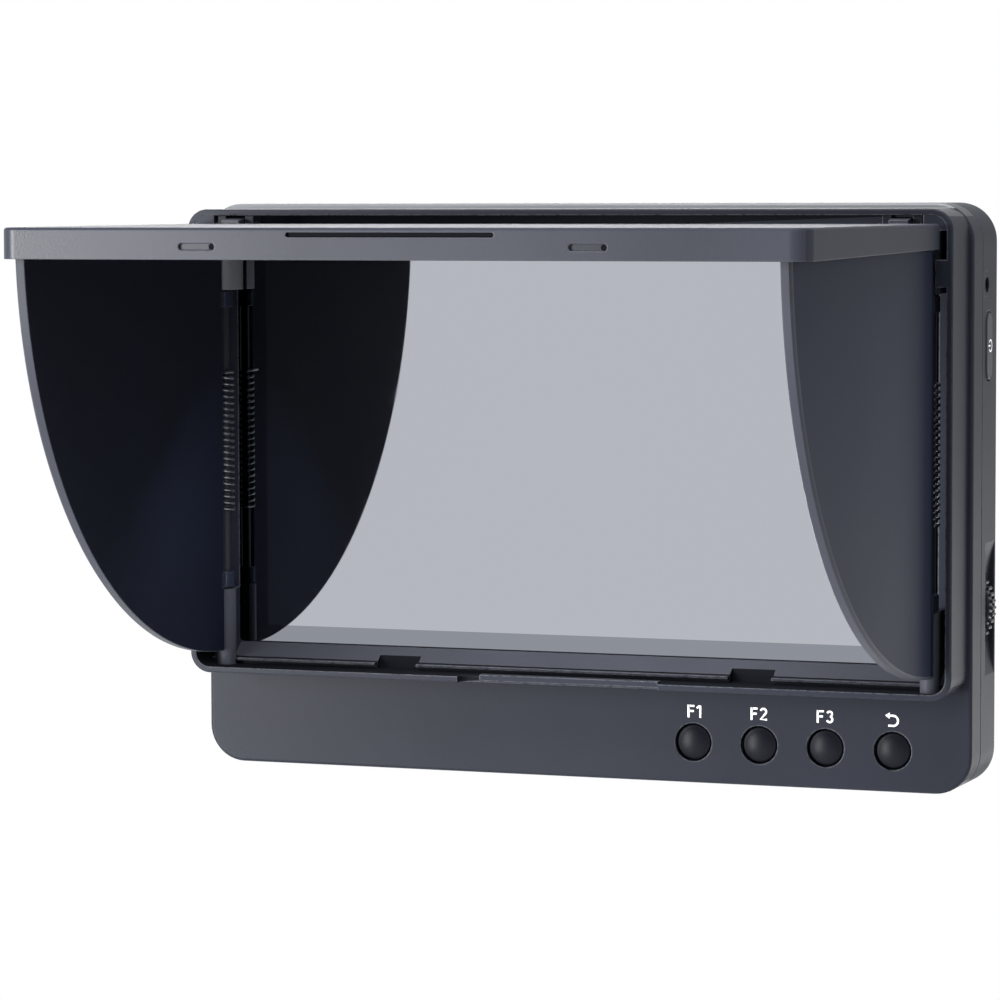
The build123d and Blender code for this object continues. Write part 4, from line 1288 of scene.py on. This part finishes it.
@dataclass
class SidePanel:
    """A quarter-round side panel with the two lugs that turn on its rod."""

    side: Side
    rod_y: float
    toe_in: float = 0.0
    rod_x: float = 85.1
    inner: float = 84.4
    plate: float = 2.4
    inner_soft: float = 0.12
    bevel: float = 0.6
    bevel_steps: tuple[Flat, ...] = ((1.0, 0.0), (0.1, 0.94), (0.0, 1.25))
    tip_y: float = -125.0
    top: float = 120.95
    bottom: float = 27.05
    oval_z: float = 126.05
    rear_gap: float = 3.0
    straight_inset: float = 0.4
    steps: int = 90
    lug_radius: float = 1.9
    lug_bore: float = 1.0
    lug_soft: float = 0.25
    web_sink: float = 0.02
    web_inset: float = 0.1
    web_gap: float = 0.15
    web_overlap: float = 1.0
    lugs: tuple[Flat, ...] = ((41.7, 45.5), (107.1, 110.9))

    def outline(self, inset: float) -> list[Flat]:
        """The plate's outline in depth and height.

        Args:
            inset: How far inside the true outline it runs, in millimetres.

        Returns:
            Its corners as depth and height pairs.
        """
        reach = self.rod_y - self.tip_y - inset
        drop = self.oval_z - self.bottom - inset
        rear = self.rod_y - self.rear_gap - inset * self.straight_inset
        top = self.top - inset * self.straight_inset
        start = asin((self.oval_z - top) / drop)
        end = acos((self.rod_y - rear) / reach)
        angles = [start + (end - start) * n / self.steps for n in range(self.steps + 1)]
        curve = [(self.rod_y - reach * cos(a), self.oval_z - drop * sin(a)) for a in angles]
        return [*curve, (rear, top)]

    def build(self) -> None:
        """Builds the plate and its lugs, with a matte inner face and a satin outer one."""
        word = self.side.word
        settle(self.body(), f"{word}_panel", Finishes.satin, f"{word}_side_panel")
        dress(Finishes.rod, f"{word}_hinge_rod")

    def body(self) -> bpy.types.Object:
        """Makes the panel's mesh.

        Returns:
            The panel, its rim and faces each with their own finish.
        """
        shape = bmesh.new()
        # The edge faces are paler than the faces, as a painted highlight
        rim, flock = 1, 2
        sign = self.side.value
        outer = self.inner + self.plate
        layers = [(self.inner, self.inner_soft), (self.inner + self.inner_soft, 0.0)]
        layers += [(outer - self.bevel * deep, self.bevel * inset) for deep, inset in self.bevel_steps]
        loops = [[shape.verts.new((sign * x, y, z)) for y, z in self.outline(inset)] for x, inset in layers]
        shape.faces.new(loops[0]).material_index = flock
        shape.faces.new(loops[-1])
        count = len(loops[0])
        for low, high in zip(loops, loops[1:]):
            for n in range(count):
                after = (n + 1) % count
                shape.faces.new((low[n], low[after], high[after], high[n])).material_index = rim
        for low, high in self.lugs:
            self.lug(shape, low, high)
        turn = Matrix.Rotation(radians(self.toe_in), 4, "Z")
        hinge = Matrix.Translation((sign * self.rod_x, self.rod_y, 0))
        shape.transform(hinge @ turn @ hinge.inverted())
        made = piece(f"{self.side.word}_panel_plate", shape, Finishes.satin, 30)
        made.data.materials.append(Finishes.rim.material())
        made.data.materials.append(Finishes.flock.material())
        return made

    def lug(self, shape: bmesh.types.BMesh, low: float, high: float) -> None:
        """Adds a lug and the web that joins it to the plate.

        Args:
            shape: The panel's mesh.
            low: The lug's lower end.
            high: Its upper end.
        """
        ring = bmesh.new()
        soft = self.lug_soft
        profile = (
            (self.lug_bore, low),
            (self.lug_radius - soft, low),
            (self.lug_radius, low + soft),
            (self.lug_radius, high - soft),
            (self.lug_radius - soft, high),
            (self.lug_bore, high),
            (self.lug_bore, low),
        )
        lathe(ring, profile, 48)
        ring.transform(Matrix.Translation((self.side.value * self.rod_x, self.rod_y, 0)))
        near = self.side.value * (self.inner + self.web_sink)
        far = self.side.value * (self.inner + self.plate - self.web_inset)
        rear = self.rod_y - self.lug_bore - self.web_gap
        ahead = self.rod_y - self.rear_gap - self.web_overlap
        web = ((near, rear), (far, rear), (far, ahead), (near, ahead))
        prism(ring, web, low + self.web_inset, high - self.web_inset)
        mesh = bpy.data.meshes.new("lug")
        bmesh.ops.recalc_face_normals(ring, faces=ring.faces)
        ring.to_mesh(mesh)
        ring.free()
        shape.from_mesh(mesh)
        bpy.data.meshes.remove(mesh)


@dataclass
class TorsionSpring:
    """The coil round a hinge rod that holds its panel open."""

    side: Side
    rod_y: float
    toe_in: float = 0.0
    rod_x: float = 85.1
    bottom: float = 59.6
    top: float = 92.3
    inner_radius: float = 1.5
    wire: float = 0.65
    turns: int = 22
    panel_leg: Point = (-0.3, -3.5, 0.0)
    case_leg: Point = (-1.6, 4.4, 0.0)

    def build(self) -> None:
        """Winds the wire and hangs it on the panel."""
        half = self.wire / 2
        sizes = {
            "Turns": float(self.turns),
            "Coil Radius": (self.inner_radius + half) * MM,
            "Wire Radius": half * MM,
            "Length": (self.top - self.bottom - self.wire) * MM,
            "Centre": (0.0, 0.0, (self.bottom + half) * MM),
            "Upper Leg": tuple(c * MM for c in self.panel_leg),
            "Lower Leg": tuple(c * MM for c in self.case_leg),
        }
        made = CoilSpring(Finishes.wire).make(f"{self.side.word}_coil", [(0, 0, 0)], sizes)
        shape = bmesh.new()
        shape.from_mesh(made.data)
        if self.side is Side.RIGHT:
            shape.transform(Matrix.Scale(-1, 4, (1, 0, 0)))
            bmesh.ops.reverse_faces(shape, faces=shape.faces)
        shape.transform(Matrix.Rotation(radians(self.toe_in), 4, "Z"))
        shape.transform(Matrix.Translation((self.side.value * self.rod_x * MM, self.rod_y * MM, 0)))
        shape.to_mesh(made.data)
        shape.free()
        settle(made, f"{self.side.word}_panel", Finishes.wire, f"{self.side.word}_torsion_spring")


@dataclass
class FrontKey:
    """A round domed key below the screen."""

    body: str
    node: str
    x: float
    z: float = 9.25
    radius: float = 3.95
    dome: float = 1.1
    crown_y: float = -15.5
    back_y: float = -12.6
    flange_radius: float = 5.05
    flange: float = 0.65
    edge: float = 0.45
    mantle: float = 3.6
    rings: int = 14

    def profile(self) -> list[Flat]:
        """The key's profile from its crown to its back, as radius and height pairs."""
        shoulder = self.radius - self.edge
        ball = (self.radius**2 + self.dome**2) / (2 * self.dome)
        spread = [shoulder * n / self.rings for n in range(self.rings + 1)]
        crown = [(reach, sqrt(ball**2 - reach**2) - ball) for reach in spread]
        low, turns = crown[-1][1], (0.4, 0.8, 1.2, pi / 2)
        turned = [(shoulder + self.edge * sin(a), low - self.edge * (1 - cos(a))) for a in turns]
        depth = self.crown_y - self.back_y
        back = [
            (self.radius, depth + self.flange),
            (self.flange_radius, depth + self.flange),
            (self.flange_radius, depth),
            (0, depth),
        ]
        return [*crown, *turned, *back]

    def build(self) -> None:
        """Turns the key, with its skirt in matte near-black as painted shade for the gap round it, and stands
        it in its hole.
        """
        shape = bmesh.new()
        lathe(shape, self.profile(), 72)
        shape.transform(Matrix.Translation((self.x, self.crown_y, self.z)) @ FACING_FRONT)
        made = piece(f"{self.node}_cap", shape, Finishes.rubber, 50)
        made.data.materials.append(Finishes.painted_shade.material())
        # Faces beyond the mantle take a near-black finish: painted shade for the gap round the key
        for face in made.data.polygons:
            reach = Vector((face.center.x / MM - self.x, face.center.z / MM - self.z)).length
            face.material_index = int(reach > self.mantle)
        settle(made, self.body, Finishes.rubber, self.node)


@dataclass
class KeyMarks:
    """White print: the keys' labels and the power symbol."""

    face_y: float = -15.3
    height: float = 3.15
    weight: float = 0.5
    symbol_weight: float = 0.42
    ink_half: float = 0.02
    scale: float = 0.91
    z: float = 16.3
    power_x: float = 92.55
    power_y: float = -1.4
    power_z: float = 99.2
    xs: tuple[float, ...] = (27.6, 43.13, 58.66, 74.19)

    def build(self) -> None:
        """Prints the labels above the keys and the symbol on the power key."""
        digits = ((-1.5, self.one()), (-2.15, self.two()), (-2.2, self.three()))
        for x, (start, digit) in zip(self.xs, digits):
            shape = bmesh.new()
            for path in (*self.letter_f(start), digit):
                self.stroke(shape, path, self.weight)
            self.lay(f"label_{x:.0f}", shape, (x, self.face_y, self.z), FACING_FRONT, "case")
        spot = (self.xs[-1], self.face_y, self.z)
        self.lay("label_return", self.return_arrow(), spot, FACING_FRONT, "case")
        spot = (self.power_x, self.power_y, self.power_z)
        self.lay("label_power", self.power_symbol(), spot, FACING_RIGHT, "power")

    def letter_f(self, start: float) -> list[list[Flat]]:
        """The strokes of the letter F.

        Args:
            start: Its left edge, from the key's centre.

        Returns:
            Its three strokes.
        """
        half = (self.height - self.weight) / 2
        left = start + self.weight / 2
        return [
            [(left, -half - self.weight / 2), (left, half + self.weight / 2)],
            [(left, half), (left + 1.55, half)],
            [(left, 0.05), (left + 1.35, 0.05)],
        ]

    def one(self) -> list[Flat]:
        """The stroke of the figure 1."""
        half = self.height / 2
        return [(0.9, half - 0.75), (1.7, half - 0.2), (1.84, half - 0.2), (1.84, -half)]

    def two(self) -> list[Flat]:
        """The stroke of the figure 2."""
        low = -(self.height - self.weight) / 2
        return [*arc((1.15, 0.62), 0.72, 165, -38, 14), (0.42, low), (2.1, low)]

    def three(self) -> list[Flat]:
        """The stroke of the figure 3."""
        return [*arc((1.1, 0.68), 0.64, 160, -80, 12), *arc((1.1, -0.62), 0.7, 80, -160, 14)]

    def lay(self, name: str, shape: bmesh.types.BMesh, place: Point, facing: Matrix, body: str) -> None:
        """Lays print on a face.

        Args:
            name: The piece's name.
            shape: The print, drawn facing up.
            place: Where its centre goes.
            facing: Which way it is turned.
            body: The body it is printed on.
        """
        shape.transform(Matrix.Translation(place) @ facing @ Matrix.Diagonal((self.scale, self.scale, 1, 1)))
        settle(piece(name, shape, Finishes.ink), body, Finishes.ink)

    def stroke(self, shape: bmesh.types.BMesh, path: Sequence[Flat], width: float) -> None:
        """Draws a line of even width along a path.

        Args:
            shape: The mesh that gets it.
            path: The line's middle.
            width: Its width.
        """
        left, right = [], []
        for n, spot in enumerate(path):
            before, after = path[max(n - 1, 0)], path[min(n + 1, len(path) - 1)]
            run = Vector((after[0] - before[0], after[1] - before[1])).normalized() * width / 2
            left.append((spot[0] - run.y, spot[1] + run.x))
            right.append((spot[0] + run.y, spot[1] - run.x))
        prism(shape, [*left, *reversed(right)], -self.ink_half, self.ink_half)

    def return_arrow(self) -> bmesh.types.BMesh:
        """The hooked arrow of the return key."""
        shape = bmesh.new()
        path = [(-0.9, 0.95), *arc((0.15, -0.3), 1.25, 90, -90, 20), (-1.05, -1.55)]
        self.stroke(shape, path, self.weight)
        prism(shape, ((-1.85, 0.95), (-0.7, 1.75), (-0.7, 0.15)), -self.ink_half, self.ink_half)
        return shape

    def power_symbol(self) -> bmesh.types.BMesh:
        """The broken ring with a stroke in its gap, lying on its side."""
        shape = bmesh.new()
        for path in (arc((0, 0), 1.4, 215, 505, 40), [(-1.95, 0), (-0.1, 0)]):
            self.stroke(shape, path, self.symbol_weight)
        return shape


@dataclass
class SideControls:
    """The power key, the thumb dial and the headphone socket on the right side."""

    key_edge: float = 0.25
    dial_x: float = 82.45
    dial_y: float = 0.4
    dial_z: float = 40.4
    dial_radius: float = 11.0
    dial_thickness: float = 3.0
    dish: float = 0.5
    dish_radius: float = 6.82
    dish_edge: float = 7.26
    soft: float = 0.3
    rib_radius: float = 0.45
    teeth: int = 44

    def build(self) -> None:
        """Builds the dial and the power key and dresses the rest."""
        self.dial()
        rounded("power_button", "power", Finishes.control, self.key_edge, 3)
        dress(Finishes.chip, "power_switch", "dial_encoder")
        dress(Finishes.jack, "headphone_jack")

    def dial(self) -> None:
        """Turns the dial's disc and sets a ring of grip ribs in its rim."""
        half = self.dial_thickness / 2
        rim = self.dial_radius - 2 * self.rib_radius
        shape = bmesh.new()
        front = (
            (0, half - self.dish),
            (self.dish_radius, half - self.dish),
            (self.dish_edge, half),
            (rim - self.soft, half),
            (rim, half - self.soft),
        )
        rear = [(radius, -depth) for radius, depth in reversed(front)]
        lathe(shape, (*front, *rear), 2 * self.teeth)
        centre = Vector((self.dial_x, self.dial_y, self.dial_z))
        shape.transform(Matrix.Translation(centre) @ FACING_FRONT)
        disc = piece("dial_disc", shape, Finishes.control)
        settle(disc, "dial", Finishes.control, "menu_dial")
        sizes = {
            "Ribs": self.teeth,
            "Ring Radius": (self.dial_radius - self.rib_radius) * MM,
            "Rib Radius": self.rib_radius * MM,
            "Rib Length": (self.dial_thickness - self.soft) * MM,
            "Centre": tuple(centre * MM),
        }
        ribs = RibRing(Finishes.control).make("dial_ribs", [(0, 0, 0)], sizes)
        settle(ribs, "dial", Finishes.control)


@dataclass
class RearFittings:
    """The battery plate with its contacts and latch, the sockets and the tripod insert."""

    edge: float = 0.25
    contact_edge: float = 0.2
    plate_screw_x: float = 13.0
    plate_screw_z: float = 24.0
    plate_z: float = 66.0
    seat_y: float = 9.5
    head: Flat = (2.2, 1.3)
    shank: Flat = (1.2, 6.2)
    slot: float = 0.5
    ridge_y: float = 12.35
    ridge_z: float = 90.0
    ridge_pitch: float = 1.3
    ridge: Point = (8.0, 0.5, 0.5)
    ridges: int = 4

    def build(self) -> None:
        """Builds the battery plate, its latch, contacts and screws, and dresses the sockets."""
        rounded("battery_plate", "case", Finishes.control, self.edge)
        rounded("battery_release", "release", Finishes.control, self.edge)
        lowest = self.ridge_z - self.ridge_pitch * (self.ridges - 1) / 2
        spots = [(0.0, self.ridge_y, lowest + self.ridge_pitch * n) for n in range(self.ridges)]
        size = tuple(c * MM for c in self.ridge)
        grip = Blocks(Finishes.control).make("release_grip", spots, {"Size": size})
        settle(grip, "release", Finishes.control)
        rounded("battery_contacts", "case", Finishes.gold, self.contact_edge, 3)
        across, up = (-self.plate_screw_x, self.plate_screw_x), (-self.plate_screw_z, self.plate_screw_z)
        seats = [(x, self.seat_y, self.plate_z + z) for x in across for z in up]
        made = screws("plate_screw_set", seats, self.head, self.shank, self.slot)
        settle(made, "case", Finishes.screw, "plate_screws")
        dress(Finishes.jack, "av_in_jack", "dc_in_jack")
        dress(Finishes.socket, "hdmi_in_socket", "hdmi_out_socket")
        dress(Finishes.brass, "tripod_insert")


@dataclass
class Internals:
    """The boards and what sits on them."""

    def build(self) -> None:
        """Dresses the boards, the chip and its heat spreader."""
        dress(Finishes.board, "main_board", "side_board", "button_board")
        dress(Finishes.brass, "board_spacers")
        dress(Finishes.screw, "board_screws")
        dress(Finishes.chip, "video_chip", "tact_switches")
        dress(Finishes.fins, "heat_spreader")


@dataclass(frozen=True)
class Softbox:
    """One soft area light."""

    name: str
    place: Point
    aim: Point
    size: Flat
    power: float
    tint: Colour = (1.0, 1.0, 1.0)
    mirrored: bool = True

    def build(self) -> None:
        """Hangs the light."""
        data = bpy.data.lights.new(self.name, "AREA")
        data.shape = "RECTANGLE"
        data.size, data.size_y = self.size
        data.energy = self.power
        data.color = self.tint
        lamp = link(self.name, data)
        lamp.location = self.place
        lamp.visible_glossy = self.mirrored
        lamp.visible_camera = False
        lamp.rotation_euler = (Vector(self.aim) - Vector(self.place)).to_track_quat("-Z", "Y").to_euler()


@dataclass
class Studio:
    """The room: its light, floor and camera."""

    camera_place: Point = (0.32964, -0.93908, 0.13377)
    azimuth: float = 20.678
    elevation: float = 4.091
    roll: float = -0.151
    lens: float = 155.4
    sensor: float = 36.0
    floor_z: float = -0.25
    ambient: float = 0.3
    boxes: tuple[Softbox, ...] = (
        Softbox("key", (-0.77, -0.98, 0.05), (-0.05, -0.08, 0.08), (0.38, 0.9), 40.0, (1.0, 1.0, 0.99)),
        Softbox("floor glow", (0.15, -0.8, -0.21), (0.05, -0.03, 0.03), (1.0, 0.25), 1.4),
        Softbox("top", (0.0, -0.4, 1.15), (0, -0.05, 0.1), (0.9, 0.9), 36.0),
        Softbox("back", (-0.7, 1.2, 0.45), (0, 0, 0.1), (0.9, 0.5), 8.0, (0.97, 0.98, 1.0)),
        Softbox("hood fill", (0.0, -0.06, 0.075), (0, -0.02, 0.02), (0.13, 0.03), 0.14, mirrored=False),
        Softbox("edge line", (1.15, 0.18, 0.1), (0.09, -0.02, 0.07), (0.08, 0.9), 6.0),
        Softbox("low rim", (0.4, 0.75, -0.14), (0.09, 0.0, 0.02), (0.5, 0.2), 1.2),
    )

    def build(self) -> None:
        """Lights the room, lays the floor and sets up the camera."""
        self.air()
        self.floor()
        for box in self.boxes:
            box.build()
        self.camera()
        bpy.context.scene.view_settings.view_transform = "Standard"

    def air(self) -> None:
        """Makes the world: white where it is seen or mirrored, and plain ambient light elsewhere."""
        world = bpy.data.worlds.new("studio_air")
        bpy.context.scene.world = world
        world.use_nodes = True
        world.node_tree.nodes.clear()
        graph = Graph(world.node_tree)
        rays = graph.add("ShaderNodeLightPath").outputs
        seen = graph.math("MAXIMUM", rays["Is Camera Ray"], rays["Is Glossy Ray"])
        seen = graph.math("MAXIMUM", seen, rays["Is Transmission Ray"])
        white = graph.add("ShaderNodeBackground", {"Color": rgba((1, 1, 1)), "Strength": 1.0})
        plain = graph.add("ShaderNodeBackground", {"Color": rgba((0.95, 0.97, 1)), "Strength": self.ambient})
        mixed = graph.add("ShaderNodeMixShader", {0: seen, 1: plain.outputs[0], 2: white.outputs[0]})
        graph.add("ShaderNodeOutputWorld", {"Surface": mixed.outputs[0]})

    def floor(self) -> None:
        """Lays a pale round floor that fades out at its edge."""
        shape = bmesh.new()
        bmesh.ops.create_circle(shape, cap_ends=True, segments=96, radius=Finishes.floor.fade_to)
        shape.transform(Matrix.Translation((0, 0, self.floor_z / MM)))
        piece("studio_floor", shape, Finishes.floor)

    def camera(self) -> None:
        """Sets the camera up where the picture is taken from."""
        data = bpy.data.cameras.new("camera")
        data.lens = self.lens
        data.sensor_width = self.sensor
        data.clip_start = 0.01
        data.dof.use_dof = False
        az, el, ro = radians(self.azimuth), radians(self.elevation), radians(self.roll)
        ahead = Vector((-sin(az) * cos(el), cos(az) * cos(el), -sin(el)))
        right = Vector((cos(az), sin(az), 0))
        up = right.cross(ahead)
        tilted = right * cos(ro) + up * sin(ro)
        above = tilted.cross(ahead)
        turn = Matrix((tilted, above, -ahead)).transposed()
        made = link("camera", data)
        made.matrix_world = Matrix.Translation(self.camera_place) @ turn.to_4x4()
        bpy.context.scene.camera = made


def main() -> None:
    """Builds every sub-assembly in order, then the room."""
    logging.basicConfig(level=logging.INFO, format="%(name)s: %(message)s")
    keys = zip(("f1", "f2", "f3", "return_key"), ("f1", "f2", "f3", "return"), KeyMarks.xs)
    assemblies = [
        CaseShells(),
        Screen(),
        HoodLid(),
        SidePanel(Side.LEFT, rod_y=-21.4),
        SidePanel(Side.RIGHT, rod_y=-24.3, toe_in=-1.8),
        TorsionSpring(Side.LEFT, rod_y=-21.4),
        TorsionSpring(Side.RIGHT, rod_y=-24.3, toe_in=-1.8),
        *(FrontKey(body, f"{word}_button", x) for body, word, x in keys),
        KeyMarks(),
        SideControls(),
        RearFittings(),
        Internals(),
        Studio(),
    ]
    for assembly in assemblies:
        log.info("building %s", type(assembly).__name__)
        assembly.build()


if __name__ == "__main__":
    main()
